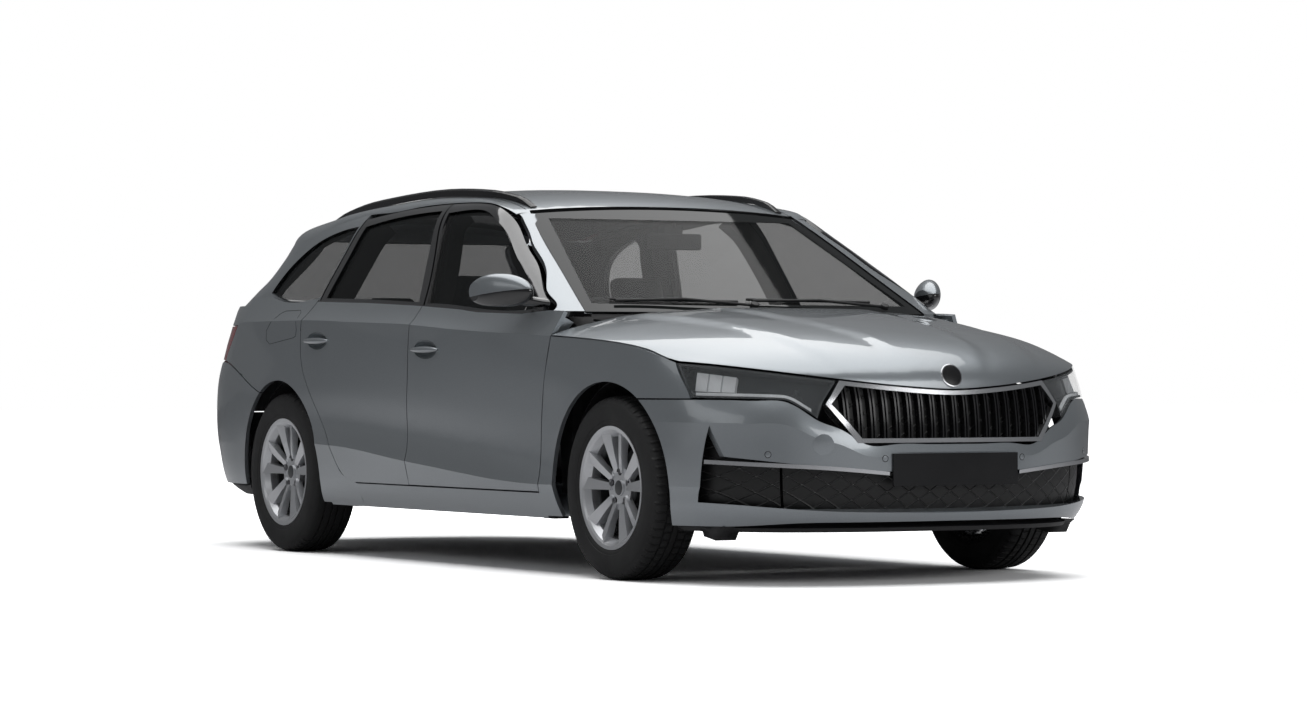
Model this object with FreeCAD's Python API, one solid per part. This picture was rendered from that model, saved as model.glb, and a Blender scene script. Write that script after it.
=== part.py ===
import FreeCAD
import Part
import math
import os

os.makedirs("parts", exist_ok=True)

# Five-door station wagon, life size, millimetres.
# Front faces -Y, the car's left side is +X, Z is up, tyres stand on Z = 0.

V = FreeCAD.Vector

# Main sizes
LENGTH = 4698.0
WHEELBASE = 2686.0
FRONT_AXLE_Y = -1452.0
REAR_AXLE_Y = FRONT_AXLE_Y + WHEELBASE
TYRE_R = 326.0
TYRE_W = 205.0
RIM_R = 219.0
WHEEL_X = 770.0
KINGPIN_X = 700.0
ARCH_R = 375.0
LINER_R = 383.0
SKIN = 16.0
DOOR_T = 70.0
FRAME_T = 24.0
GLASS_T = 5.0
GAP = 5.0


def smooth(table, at):
    """Monotone cubic through (position, value) pairs."""
    if at <= table[0][0]:
        return table[0][1]
    if at >= table[-1][0]:
        return table[-1][1]
    i = 0
    while at > table[i + 1][0]:
        i += 1

    def slope(k):
        if k < 0 or k > len(table) - 2:
            return None
        return (table[k + 1][1] - table[k][1]) / (table[k + 1][0] - table[k][0])

    def tangent(k):
        a, b = slope(k - 1), slope(k)
        if a is None or b is None:
            return b if a is None else a
        if a * b <= 0:
            return 0.0
        ha = table[k][0] - table[k - 1][0]
        hb = table[k + 1][0] - table[k][0]
        w1, w2 = 2 * hb + ha, hb + 2 * ha
        return (w1 + w2) / (w1 / a + w2 / b)

    h = table[i + 1][0] - table[i][0]
    t = (at - table[i][0]) / h
    a = (1 + 2 * t) * (1 - t) ** 2 * table[i][1] + t * (1 - t) ** 2 * h * tangent(i)
    b = t * t * (3 - 2 * t) * table[i + 1][1] + t * t * (t - 1) * h * tangent(i + 1)
    return a + b


# Body rows, from the bottom edge up. Each one gives the height along the car,
# the nose and the tail as (y at the centre, run-out, roundness), and the half
# width at the stations.
STATIONS = (-1850, -1452, -1000, -450, 50, 650, 1234, 1650, 2000)
BODY_ROWS = (
    ([(-2349, 188), (-1000, 196), (2349, 215)],
     (-2290, 620, 2.4), (2205, 690, 2.2),
     (822, 838, 846, 848, 848, 848, 840, 830, 800)),
    ([(-2349, 262), (2349, 268)],
     (-2330, 620, 2.5), (2298, 620, 2.4),
     (838, 862, 872, 875, 875, 874, 864, 854, 828)),
    ([(-2349, 330), (-1000, 328), (0, 388), (700, 442), (1500, 455), (2349, 440)],
     (-2345, 625, 2.5), (2342, 595, 2.42),
     (846, 874, 892, 903, 906, 902, 878, 870, 850)),
    ([(-2349, 425), (-1000, 400), (0, 455), (700, 505), (1500, 530), (2349, 520)],
     (-2349, 630, 2.5), (2349, 595, 2.42),
     (850, 880, 888, 890, 891, 892, 885, 873, 853)),
    ([(-2349, 520), (-1850, 560), (-1000, 600), (0, 620), (1500, 650), (2349, 640)],
     (-2349, 650, 2.45), (2349, 600, 2.4),
     (852, 884, 894, 899, 901, 900, 890, 875, 854)),
    ([(-2349, 615), (-1850, 680), (-1000, 755), (0, 800), (1500, 835), (2349, 800)],
     (-2340, 665, 2.4), (2316, 645, 2.25),
     (850, 884, 902, 909, 911, 908, 894, 873, 846)),
    ([(-2349, 695), (-2257, 708), (-1897, 775), (-1448, 845), (-1000, 868),
      (-400, 893), (50, 919), (540, 933), (930, 944), (1535, 944), (2349, 922)],
     (-2320, 690, 2.35), (2284, 680, 2.1),
     (842, 878, 903, 913, 914, 912, 900, 872, 832)),
    ([(-2349, 800), (-1897, 870), (-1000, 955), (-400, 962), (50, 990),
      (850, 1017), (1400, 1040), (2349, 1000)],
     (-2262, 700, 2.3), (2196, 630, 2.3),
     (800, 838, 860, 867, 861, 855, 840, 828, 810)),
    ([(-2349, 1120), (2349, 1120)],
     (-2150, 700, 2.2), (2080, 680, 2.0),
     (700, 760, 800, 820, 822, 820, 810, 790, 740)),
)
CREASES = (2, 6)

# Cabin rows at level heights: nose and tail as above with an added bow across,
# and the half widths.
CABIN_STATIONS = (-1000, -400, 0, 500, 1000, 1400, 1800)
CABIN_ROWS = (
    (860, (-1310, 170, 6.0, 75), (2262, 660, 2.3, 0), (866, 872, 878, 878, 872, 864, 850)),
    (960, (-1126, 160, 6.0, 72), (2240, 650, 2.3, 0), (852, 858, 863, 863, 858, 850, 838)),
    (1050, (-960, 150, 6.0, 68), (2112, 590, 2.15, 0), (818, 826, 832, 834, 828, 818, 806)),
    (1130, (-812, 142, 6.0, 64), (1998, 555, 2.0, 0), (786, 794, 800, 802, 795, 780, 764)),
    (1215, (-655, 134, 6.0, 58), (1900, 502, 2.0, 0), (750, 758, 766, 768, 758, 738, 716)),
    (1295, (-507, 126, 6.0, 52), (1832, 452, 2.0, 0), (712, 722, 732, 735, 724, 698, 664)),
    (1345, (-414, 120, 6.0, 46), (1796, 432, 2.0, 0), (676, 688, 700, 704, 692, 664, 628)),
    (1385, (-340, 114, 6.0, 42), (1766, 412, 2.0, 0), (630, 642, 656, 660, 648, 618, 586)),
    (1425, (-262, 108, 6.0, 38), (1735, 400, 2.0, 0), (560, 570, 584, 588, 576, 550, 520)),
    (1475, (-160, 102, 6.0, 34), (1680, 400, 2.0, 0), (470, 480, 492, 496, 484, 460, 430)),
)


def end_factor(end, y, sign):
    """Share of the full width left at y inside a rounded nose or tail."""
    y0, run, power = end[:3]
    bow = end[3] if len(end) > 3 else 0.0
    depth = sign * (y0 - y)
    if depth <= 0:
        return 0.0
    if depth >= run + bow:
        return 1.0
    if not bow:
        return (1 - (1 - depth / run) ** power) ** (1 / power)
    low, high = 0.0, 1.0
    for _ in range(26):
        f = (low + high) / 2
        if bow * f * f + run * (1 - (1 - f ** power) ** (1 / power)) < depth:
            low = f
        else:
            high = f
    return low


def band(rows, z):
    """The run of rows between sharp creases that holds a height."""
    if len(rows) != len(BODY_ROWS):
        return rows
    low, high = CREASES
    if z < rows[low][0]:
        return rows[:low + 1]
    if z < rows[high][0]:
        return rows[low:high + 1]
    return rows[high:]


CACHE = {}


def profile(rows, stations, y):
    """Per row at y: height, full half width, nose and tail shape."""
    key = (len(rows), round(y, 3))
    if key not in CACHE:
        out = []
        for heights, nose, tail, widths in rows:
            z = heights if isinstance(heights, (int, float)) else smooth(heights, y)
            out.append((z, smooth(list(zip(stations, widths)), y), nose, tail))
        CACHE[key] = out
    return CACHE[key]


def half_width(rows, stations, y, z):
    part = band(profile(rows, stations, y), z)
    x = smooth([(r[0], r[1]) for r in part], z)
    for index, sign, limit in ((2, -1, -60), (3, 1, 1000)):
        if sign * (y - limit) > 0:
            count = len(part[0][index])
            end = [smooth([(r[0], r[index][k]) for r in part], z) for k in range(count)]
            x *= end_factor(end, y, sign)
    return x


def body_x(y, z):
    """Half width of the lower body at y, z."""
    if -1560 < y < 1320:
        part = band(profile(BODY_ROWS, STATIONS, y), z)
        return smooth([(r[0], r[1]) for r in part], z)
    return half_width(BODY_ROWS, STATIONS, y, z)


def cabin_x(y, z):
    """Half width of the cabin at y, z."""
    return half_width(CABIN_ROWS, CABIN_STATIONS, y, z)


def nose_point(x, z, inset=0.0):
    """Point of the cabin nose (windscreen side) at a given x and height."""
    low, high = -1500.0, 200.0
    for _ in range(34):
        y = (low + high) / 2
        if cabin_x(y, z) < max(abs(x), 8.0):
            low = y
        else:
            high = y
    return V(x, high + inset, z)


# Patches: a grid of points on the outer skin becomes a solid of even thickness.

def spacing(points):
    total = [0.0]
    for a, b in zip(points, points[1:]):
        total.append(total[-1] + max(a.distanceToPoint(b), 1e-6))
    return [t / total[-1] for t in total]


def spline(points, params):
    curve = Part.BSplineCurve()
    curve.interpolate(Points=points, Parameters=params)
    return curve


def patch(rows, across, along):
    curves = [spline(row, across) for row in rows]
    cross = []
    for i in range(curves[0].NbPoles):
        cross.append(spline([c.getPole(i + 1) for c in curves], along))
    face = Part.BSplineSurface()
    face.buildFromPolesMultsKnots(
        [c.getPoles() for c in cross],
        curves[0].getMultiplicities(), cross[0].getMultiplicities(),
        curves[0].getKnots(), cross[0].getKnots(),
        False, False, curves[0].Degree, cross[0].Degree)
    return face.toShape()


def normals(rows):
    out = []
    last_j, last_i = len(rows) - 1, len(rows[0]) - 1
    for j, row in enumerate(rows):
        line = []
        for i, p in enumerate(row):
            du = row[min(i + 1, last_i)].sub(row[max(i - 1, 0)])
            dv = rows[min(j + 1, last_j)][i].sub(rows[max(j - 1, 0)][i])
            n = du.cross(dv)
            n.normalize()
            centre = V(0, p.y * 0.55, 600)
            if n.dot(centre.sub(p)) < 0:
                n = n.negative()
            line.append(n)
        out.append(line)
    return out


def shifted(rows, depth):
    if not depth:
        return rows
    ns = normals(rows)
    return [[p.add(V(n).multiply(depth)) for p, n in zip(r, m)] for r, m in zip(rows, ns)]


def slab(rows, depth, start=0.0, breaks=()):
    """Solid between the skin grid moved in by start and by start + depth."""
    outer = shifted(rows, start)
    inner = shifted(rows, start + depth)
    across = spacing(rows[len(rows) // 2])
    faces = []
    cuts = [0] + list(breaks) + [len(rows) - 1]
    for a, b in zip(cuts, cuts[1:]):
        along = spacing([r[len(r) // 2] for r in rows[a:b + 1]])
        pair = [patch(g[a:b + 1], across, along) for g in (outer, inner)]
        faces += pair
        for i in (0, -1):
            e = [spline([r[i] for r in g[a:b + 1]], along).toShape() for g in (outer, inner)]
            faces.append(Part.makeRuledSurface(e[0], e[1]))
    for j in (0, -1):
        e = [spline(g[j], across).toShape() for g in (outer, inner)]
        faces.append(Part.makeRuledSurface(e[0], e[1]))
    shell = Part.makeShell(faces)
    shell.sewShape()
    solid = Part.makeSolid(shell.Shells[0] if shell.Shells else shell)
    if solid.Volume < 0:
        solid.reverse()
    return solid


def even(count):
    return [i / (count - 1.0) for i in range(count)]


def side_point(y, z):
    return V(body_x(y, z), y, z)


def cabin_point(y, z):
    return V(cabin_x(y, z), y, z)


def corner_point(pivot):
    """Places (angle from straight ahead, height) on the nose or tail."""
    sign = -1 if pivot < 0 else 1

    def place(angle, z):
        a = math.radians(angle)
        low, high = 0.0, 1200.0
        for _ in range(34):
            r = (low + high) / 2
            if abs(r * math.sin(a)) < body_x(pivot + sign * r * math.cos(a), z):
                low = r
            else:
                high = r
        return V(low * math.sin(a), pivot + sign * low * math.cos(a), z)
    return place


def grid(place, start, end, levels, counts, columns):
    """Grid of skin points between edge curves (as functions of height) and
    level curves (as functions of the first coordinate)."""
    rows = []
    breaks = []
    for k in range(len(levels) - 1):
        steps = even(counts[k])
        if k:
            breaks.append(len(rows) - 1)
            steps = steps[1:]
        for s in steps:
            row = []
            for u in columns:
                z = 0.5 * (levels[k](start(600)) + levels[k + 1](start(600)))
                for _ in range(12):
                    a = start(z) + (end(z) - start(z)) * u
                    z = levels[k](a) * (1 - s) + levels[k + 1](a) * s
                row.append(place(a, z))
            rows.append(row)
    return rows, breaks


def line(*pairs):
    table = sorted(pairs)
    return lambda at: smooth(table, at)


def flat(value):
    return lambda at: value


def row_level(index, add=0.0):
    heights = BODY_ROWS[index][0]
    return lambda y: smooth(heights, y) + add


def panel(place, start, end, levels, counts, columns, depth, inset=0.0):
    rows, breaks = grid(place, start, end, levels, counts, columns)
    return slab(rows, depth, inset, breaks)


# Cutting tools and small helpers

def side_place(p):
    return V(0, p[0], p[1])


def front_place(p):
    return V(p[0], 0, p[1])


def top_place(p):
    return V(p[0], p[1], 0)


def prism(place, segments, start, length):
    """Prism from an outline of segments, splines where over two points."""
    edges = []
    for seg in segments:
        pts = [place(p) for p in seg]
        if len(pts) == 2:
            edges.append(Part.makeLine(pts[0], pts[1]))
        else:
            edges.append(spline(pts, spacing(pts)).toShape())
    face = Part.Face(Part.Wire(Part.__sortEdges__(edges)))
    face.translate(start)
    return face.extrude(length)


def prism_x(segments, x0, x1):
    return prism(side_place, segments, V(x0, 0, 0), V(x1 - x0, 0, 0))


def prism_y(segments, y0, y1):
    return prism(front_place, segments, V(0, y0, 0), V(0, y1 - y0, 0))


def prism_z(segments, z0, z1):
    return prism(top_place, segments, V(0, 0, z0), V(0, 0, z1 - z0))


def polygon(*points):
    points = list(points)
    return [[a, b] for a, b in zip(points, points[1:] + points[:1])]


def box(x0, x1, y0, y1, z0, z1):
    return Part.makeBox(x1 - x0, y1 - y0, z1 - z0, V(x0, y0, z0))


def rod(a, b, r):
    a = V(*a)
    b = V(*b)
    return Part.makeCylinder(r, (b - a).Length, a, b - a)


def mirrored(shape):
    return shape.mirror(V(0, 0, 0), V(1, 0, 0))


def biggest(shape):
    return max(shape.Solids, key=lambda s: s.Volume)


NODES = {}


def node(name, *shapes):
    parts = []
    for shape in shapes:
        parts += [s for s in shape.Solids if abs(s.Volume) > 300.0]
    NODES[name] = parts[0] if len(parts) == 1 else Part.makeCompound(parts)


def both(name, shape):
    """A handed pair of nodes from the left one."""
    node(name + "_left", shape)
    node(name + "_right", mirrored(shape))


def pair(name, shape):
    """One node holding the left piece and its mirror image."""
    node(name, shape, mirrored(shape))


# Shut lines of the doors: y as a function of height

FRONT_EDGE = line((274, -968), (407, -992), (545, -1006), (684, -1032), (787, -1064),
                  (863, -1088), (897, -1097), (960, -1112))
B_EDGE = line((299, 57), (519, 57), (732, 28), (874, 8), (924, -2), (981, -6), (1380, 130))
REAR_EDGE = line((302, 500), (305, 557), (329, 633), (372, 680), (466, 748), (598, 869),
                 (702, 948), (785, 988), (882, 988), (919, 978), (1009, 940), (1100, 905),
                 (1345, 800))
DOOR_TOP = line((-1000, 968), (-923, 1006), (-743, 1120), (-594, 1204), (-446, 1290),
                (-351, 1339), (-255, 1367), (-45, 1385), (154, 1388), (412, 1381),
                (640, 1363), (889, 1338))
GLASS_LOW = line((-995, 966), (-806, 951), (-471, 961), (-295, 975), (20, 992), (449, 1009),
                 (873, 1020), (1373, 1031), (1466, 1055))
SHUT_Z = line((-1838, 768), (-1765, 790), (-1658, 817), (-1476, 840), (-1284, 854),
              (-1088, 864), (-1000, 868))


def door(start, end, front):
    """Skin, inner box and window frame of a left door, with its window."""
    def between(y0, y1, shift):
        return (lambda z: y0(z) + shift), (lambda z: y1(z) - shift)
    a, b = between(start, end, GAP / 2)
    cols = even(13)
    skin = panel(side_point, a, b,
                 [flat(302), row_level(2), row_level(6), row_level(7, 4)],
                 [6, 6, 3], cols, SKIN)
    c, d = between(start, end, GAP / 2 + 24)
    inner = panel(side_point, c, d,
                  [flat(342), row_level(7, -8)], [9], even(7),
                  DOOR_T - SKIN + 3, SKIN - 3)
    if front:
        lead = flat(-945)
        tail = lambda z: B_EDGE(z) - 6
        glass = [[(-960, 975), (-806, 962), (-471, 972), (-30, 998)],
                 [(-30, 998), (88, 1352)],
                 [(88, 1352), (-45, 1358), (-230, 1345), (-330, 1312), (-446, 1262),
                  (-594, 1172), (-743, 1088), (-880, 1008), (-960, 975)]]
    else:
        lead = lambda z: B_EDGE(z) + 6
        tail = lambda z: REAR_EDGE(z) - 6
        glass = [[(42, 1002), (449, 1020), (880, 1032)],
                 [(880, 1032), (760, 1318)],
                 [(760, 1318), (640, 1334), (412, 1354), (160, 1362)],
                 [(160, 1362), (42, 1002)]]
    frame = panel(cabin_point, lead, tail, [row_level(7, -45), DOOR_TOP], [9],
                  cols if front else even(9), FRAME_T)
    window = prism_x(glass, 300, 1000)
    body = skin.fuse([inner, frame]).cut(window)
    arch = rod((500, REAR_AXLE_Y - 12, TYRE_R), (1000, REAR_AXLE_Y - 12, TYRE_R), 402)
    body = biggest(body.cut(arch))
    around = [panel(side_point, lambda z: c(z) - 7, lambda z: d(z) + 7,
                    [flat(300), row_level(7, 2)], [9], even(7), DOOR_T + 2, 4),
              panel(cabin_point, lambda z: lead(z) - 6, lambda z: tail(z) + 6,
                    [row_level(7, -51), lambda y: DOOR_TOP(y) + 6], [9],
                    cols if front else even(9), FRAME_T + 8, -2)]
    low = row_level(7, -10)
    pane = panel(cabin_point, lead, tail, [low, DOOR_TOP], [9], even(9), GLASS_T, 9)
    pane = biggest(pane.common(window))
    return body, pane, around


front_door, front_glass, front_around = door(FRONT_EDGE, B_EDGE, True)
rear_door, rear_glass, rear_around = door(B_EDGE, REAR_EDGE, False)
both("door_front", front_door)
both("door_rear", rear_door)
both("glass_front", front_glass)
both("glass_rear", rear_glass)


# Body side: rear quarter, sill, pillars and cant rail as one piece

QUARTER_TOP = line((700, 1360), (889, 1340), (1106, 1308), (1229, 1272), (1372, 1192),
                   (1500, 1110), (1620, 1040))
TAIL_PIVOT = 1400.0
TAIL_SEAM = line((560, 46), (700, 46), (800, 47), (905, 48), (1000, 50))


def tail_edge_x(z):
    """Half width of the tailgate at a height."""
    return smooth([(560, 600), (640, 640), (760, 668), (880, 676), (985, 668), (1060, 640),
                   (1150, 596), (1250, 548), (1330, 505), (1420, 470)], z)


def roof_z(x, y):
    centre = smooth([(-560, 1300), (-430, 1350), (-362, 1374), (-230, 1414), (0, 1446),
                     (450, 1466), (900, 1457), (1300, 1428), (1600, 1392), (1800, 1362),
                     (2000, 1326)], y)
    bow = smooth([(-400, 26), (0, 32), (600, 44), (1000, 54), (1400, 62), (2100, 74)], y)
    return centre - bow * (abs(x) / 570.0) ** 2.3


def roof_edge(y):
    """Half width of the roof panel, where the rails sit."""
    return smooth([(-380, 590), (0, 592), (600, 592), (1000, 584), (1300, 566), (1600, 536),
                   (1950, 480)], y)


def rail_strip(ys, low_line, depth, start=0.0, reach=1.0):
    """Rounded strip from the door tops to the edge of the roof."""
    rows = []
    for s in [reach * t for t in even(6)]:
        row = []
        for y in ys:
            z0 = low_line(y)
            x0 = cabin_x(y, z0)
            x1 = roof_edge(y) + 2
            z1 = roof_z(x1, y)
            rise = z1 - z0
            xc, zc = x0 - 0.34 * rise, z0 + 0.80 * rise
            x = (1 - s) ** 2 * x0 + 2 * s * (1 - s) * xc + s * s * x1
            z = (1 - s) ** 2 * z0 + 2 * s * (1 - s) * zc + s * s * z1
            row.append(V(x, y, z))
        rows.append(row)
    return slab(rows, depth, start)


rail_low = line(*[(y, (DOOR_TOP(y) if y < 700 else QUARTER_TOP(y) + 14) + GAP)
                  for y in (-385, -300, -200, 0, 200, 400, 600, 800, 1000, 1150, 1230)],
                (1330, 1276), (1450, 1270), (1560, 1268), (1650, 1266))
cant = rail_strip([-378, -330, -280, -200, -80, 80, 250, 420, 600, 780, 950, 1100, 1230, 1340,
                   1450, 1550, 1642], rail_low, FRAME_T)

# Front pillar strip beside the windscreen
SCREEN_X = line((955, 742), (977, 735), (1100, 690), (1240, 640), (1338, 592), (1372, 570))


def door_top_y(z):
    """Where the door's top edge passes a height in front of the roof."""
    low, high = -1000.0, -200.0
    for _ in range(26):
        y = (low + high) / 2
        if DOOR_TOP(y) + GAP < z:
            low = y
        else:
            high = y
    return low


rows = []
for z in (956, 985, 1020, 1060, 1110, 1160, 1210, 1260, 1300, 1335, 1352):
    row = []
    xs = SCREEN_X(z) + 3
    xd = cabin_x(door_top_y(z) - 3, z)
    for u in even(5):
        row.append(nose_point(xs + (xd - xs) * u, z))
    rows.append(row)
pillar_a = slab(rows, FRAME_T)
rows = []
for z in (956, 1020, 1110, 1210, 1300, 1345):
    rows.append([nose_point(SCREEN_X(z) - 24 + 34 * u, z) for u in even(4)])
screen_flange = slab(rows, 13, 10.3)

# Rear quarter: lower part to the waist, upper part round the quarter window
quarter_start = lambda z: REAR_EDGE(z) + GAP / 2
quarter_low = panel(side_point, quarter_start, flat(1600),
                    [flat(214), row_level(2), row_level(6), row_level(7, 6)],
                    [7, 6, 3], even(9), SKIN)


def tail_place(angle, z):
    return corner_point(TAIL_PIVOT)(angle, z)


def tail_angle(x, z):
    """Angle at which the tail surface reaches a half width."""
    low, high = 5.0, 89.0
    for _ in range(24):
        a = (low + high) / 2
        if tail_place(a, z).x < x:
            low = a
        else:
            high = a
    return low


seam_table = line(*[(z, tail_angle(tail_edge_x(z) + GAP, z)) for z in (600, 700, 800, 900, 1000)])
join_table = line(*[(z, math.degrees(math.atan2(body_x(1560, z), 1560 - TAIL_PIVOT)))
                    for z in (200, 400, 600, 800, 940, 1000)])
corner_up = panel(tail_place, join_table, seam_table,
                  [flat(932), lambda a: 1012.0], [4], even(8), SKIN)
lamp_front = line((786, 63.8), (944, 74.3))
corner_low = panel(tail_place, join_table, lamp_front,
                   [lambda a: smooth([(60, 774), (90, 690)], a), flat(940)], [5], even(5), SKIN)
tail_lamp = panel(tail_place, lambda z: lamp_front(z) - 0.35, lambda z: seam_table(z) + 0.2,
                  [flat(788), flat(927)], [6], even(8), 26)


def cabin_tail(u, z):
    """Point on the rear corner of the cabin at a share of its half width."""
    low, high = 1000.0, 2300.0
    target = max(u, 8.0)
    for _ in range(34):
        y = (low + high) / 2
        if cabin_x(y, z) > target:
            low = y
        else:
            high = y
    return V(u, low, z)


def d_rows():
    rows = []
    for s in even(10):
        row = []
        for u in even(10):
            z = 1100.0
            for _ in range(12):
                edge = cabin_tail(tail_edge_x(z) + GAP, z).y
                start = REAR_EDGE(z) + 6
                y = start + (edge - start) * u
                top = rail_low(y) + 10 if y < 1600 else rail_low(y) + 10 + (y - 1600) * 0.5
                z = row_level(7, -30)(y) * (1 - s) + top * s
            row.append(V(cabin_x(y, z), y, z))
        rows.append(row)
    return rows


quarter_up = slab(d_rows(), FRAME_T)
QUARTER_GLASS = [[(935, 1040), (1373, 1042), (1452, 1062)],
                 [(1452, 1062), (1372, 1166), (1229, 1248), (1106, 1285), (889, 1318), (830, 1322)],
                 [(830, 1322), (935, 1040)]]
quarter_hole = prism_x(QUARTER_GLASS, 300, 1000)
quarter_glass = panel(cabin_point, flat(815), flat(1500), [row_level(7), lambda y: 1345.0],
                      [9], even(9), GLASS_T, 9).common(quarter_hole)

# Sill, inner posts
sill = panel(side_point, flat(-985), flat(800), [flat(205), flat(296)], [4], even(9), 60)
sill_box = box(700, 795, -1050, 900, 212, 330)
post_b_low = panel(side_point, lambda z: B_EDGE(z) - 55, lambda z: B_EDGE(z) + 60,
                   [flat(290), row_level(7, 40)], [7], even(4), 42, DOOR_T + 8)
post_b_up = panel(cabin_point, lambda z: B_EDGE(z) - 42, lambda z: B_EDGE(z) + 48,
                  [row_level(7, 26), flat(1392)], [8], even(4), 62, FRAME_T + 9)
post_a = panel(side_point, flat(-1100), flat(-1004), [flat(290), flat(845)], [6], even(4),
               42, DOOR_T + 8)
post_c = panel(side_point, lambda z: REAR_EDGE(max(z, 470)) - 30, lambda z: REAR_EDGE(max(z, 470)) + 70,
               [flat(330), row_level(7, 40)], [7], even(4), 42, DOOR_T + 8)
post_c_up = panel(cabin_point, lambda z: REAR_EDGE(z) - 34, lambda z: REAR_EDGE(z) + 60,
                  [row_level(7, 26), flat(1375)], [8], even(4), 84, FRAME_T + 9)
rail_in = rail_strip([-372, -280, -80, 80, 300, 600, 850, 1100, 1300],
                     lambda y: rail_low(y) - 26, 18, FRAME_T + 10, 0.6)
side = quarter_low.fuse([corner_up, corner_low, quarter_up, cant, pillar_a, screen_flange, sill,
                        sill_box])
arch_rear = rod((500, REAR_AXLE_Y - 6, TYRE_R), (1000, REAR_AXLE_Y - 6, TYRE_R), ARCH_R)
arch_front = rod((500, FRONT_AXLE_Y, TYRE_R), (1000, FRONT_AXLE_Y, TYRE_R), ARCH_R)
bumper_rear_low = prism_x([[(1200, 640), (1409, 651), (1594, 717), (1700, 760), (1800, 783)],
                           [(1800, 783), (2500, 783)], [(2500, 783), (2500, 100)],
                           [(2500, 100), (1200, 100)], [(1200, 100), (1200, 640)]], -1000, 1000)
side = side.cut(bumper_rear_low).cut(arch_rear).cut(quarter_hole)
side = biggest(side.cut(rear_door))
pair("body_sides", side)
arch_front_clear = rod((500, FRONT_AXLE_Y, TYRE_R), (1000, FRONT_AXLE_Y, TYRE_R), LINER_R + 6)
posts = post_b_low.fuse([post_b_up, post_a, post_c, post_c_up, rail_in]).cut(side).cut(arch_rear)
posts = posts.cut(arch_front_clear).cut(front_around[0]).cut(rear_around[0]).cut(rear_around[1])
pair("side_frames", Part.makeCompound([s for s in posts.Solids if s.Volume > 2e5]))
pair("quarter_glasses", quarter_glass)

# Rear bumper


def wrap(rows_z, angles, place, depth, inset=0.0, breaks=()):
    """Slab right round an end of the car: angles from one side to the other,
    heights given or as functions of the angle."""
    rows = []
    for z in rows_z:
        row = []
        for a in angles:
            p = place(abs(a), z(abs(a)) if callable(z) else z)
            row.append(V(p.x if a >= 0 else -p.x, p.y, p.z))
        rows.append(row)
    return slab(rows, depth, inset, breaks)


REAR_ANGLES = (-97, -90, -80, -70, -62, -55, -50, -46, -42, -38, -30, -20, -10, 0,
               10, 20, 30, 38, 42, 46, 50, 55, 62, 70, 80, 90, 97)


def rear_top(a):
    return smooth([(0, 560), (34, 560), (40, 590), (46, 690), (50, 776), (63.5, 778), (70.6, 755),
                   (77.4, 712), (89.4, 646), (100, 640)], a)


def rear_level(share):
    return lambda a: 440 + (rear_top(a) - 440) * share


rear_bumper = wrap([268, 330, 385, 440] + [rear_level(t) for t in (0.25, 0.5, 0.75, 1)],
                   REAR_ANGLES, tail_place, SKIN, 0, (3,))

# Tailgate: lower skin, window frame and spoiler


def gate_low_rows(grow=0.0):
    rows = []
    for z in (566 - grow, 640, 720, 800, 880, 920, 960, 985):
        edge = tail_edge_x(z) if z > 600 else tail_edge_x(600)
        rows.append([tail_gate_point((edge - 1 + grow) * (2 * t - 1), z) for t in even(17)])
    return rows


def tail_gate_point(x, z):
    low, high = 1000.0, 2400.0
    for _ in range(34):
        y = (low + high) / 2
        if body_x(y, z) > max(abs(x), 8.0):
            low = y
        else:
            high = y
    return V(x, low, z)


def cabin_gate_point(x, z):
    p = cabin_tail(abs(x), z)
    return V(x, p.y, z)


gate_low = slab(gate_low_rows(), 45)
gate_clear = slab(gate_low_rows(4.0), 52, -3)
rear_bumper = rear_bumper.cut(gate_clear).cut(arch_rear).cut(mirrored(arch_rear))
rear_bumper = biggest(rear_bumper)
node("rear_bumper", rear_bumper)
pair("tail_lamps", biggest(tail_lamp.cut(rear_bumper)))
rear_valance = wrap([222, 240, 263], REAR_ANGLES[2:-2], tail_place, SKIN, 2)
rear_valance = biggest(rear_valance.cut([arch_rear, mirrored(arch_rear), rear_bumper]))
rows = []
for z in (950, 990, 1040, 1090, 1150, 1210, 1260, 1300):
    edge = tail_edge_x(z) - smooth([(950, 12), (1010, 10), (1045, 1)], z)
    rows.append([cabin_gate_point(edge * (2 * t - 1), z) for t in even(17)])
gate_up = slab(rows, 30)
SPOILER_X = 506.0


def spoiler_section(x):
    """Closed section of the spoiler across the car at a half width."""
    u2 = (x / SPOILER_X) ** 2
    y0, y1 = 1653 - 26 * u2, 1925 - 118 * u2
    low = cabin_gate_point(x, 1293)
    points = [(y0, roof_z(x, y0)), ((y0 + y1) / 2, roof_z(x, (y0 + y1) / 2)), (y1, roof_z(x, y1)),
              (y1 - 3, roof_z(x, y1) - 24), (low.y - 4, 1296), (low.y - 34, 1293),
              (y0 + 3, roof_z(x, y0) - 40)]
    return Part.makePolygon([V(x, y, z) for y, z in points + points[:1]])


spoiler = Part.makeLoft([spoiler_section(x) for x in (-SPOILER_X, -430, -340, -220, -110, 0,
                                                      110, 220, 340, 430, SPOILER_X)], True, True)
GATE_GLASS = [[(-520, 1040), (520, 1040)],
              [(520, 1040), (562, 1062), (528, 1150), (455, 1290)],
              [(455, 1290), (-455, 1290)],
              [(-455, 1290), (-528, 1150), (-562, 1062), (-520, 1040)]]
gate_hole = prism_y(GATE_GLASS, 1500, 2500)
tailgate = biggest(gate_low.fuse([gate_up, spoiler]).cut(gate_hole))
node("tailgate", tailgate)
rows = []
for z in (1030, 1090, 1150, 1210, 1270, 1310):
    edge = tail_edge_x(z) - 6
    rows.append([cabin_gate_point(edge * (2 * t - 1), z) for t in even(13)])
node("glass_tailgate", biggest(slab(rows, GLASS_T, 9).common(gate_hole)))

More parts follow.
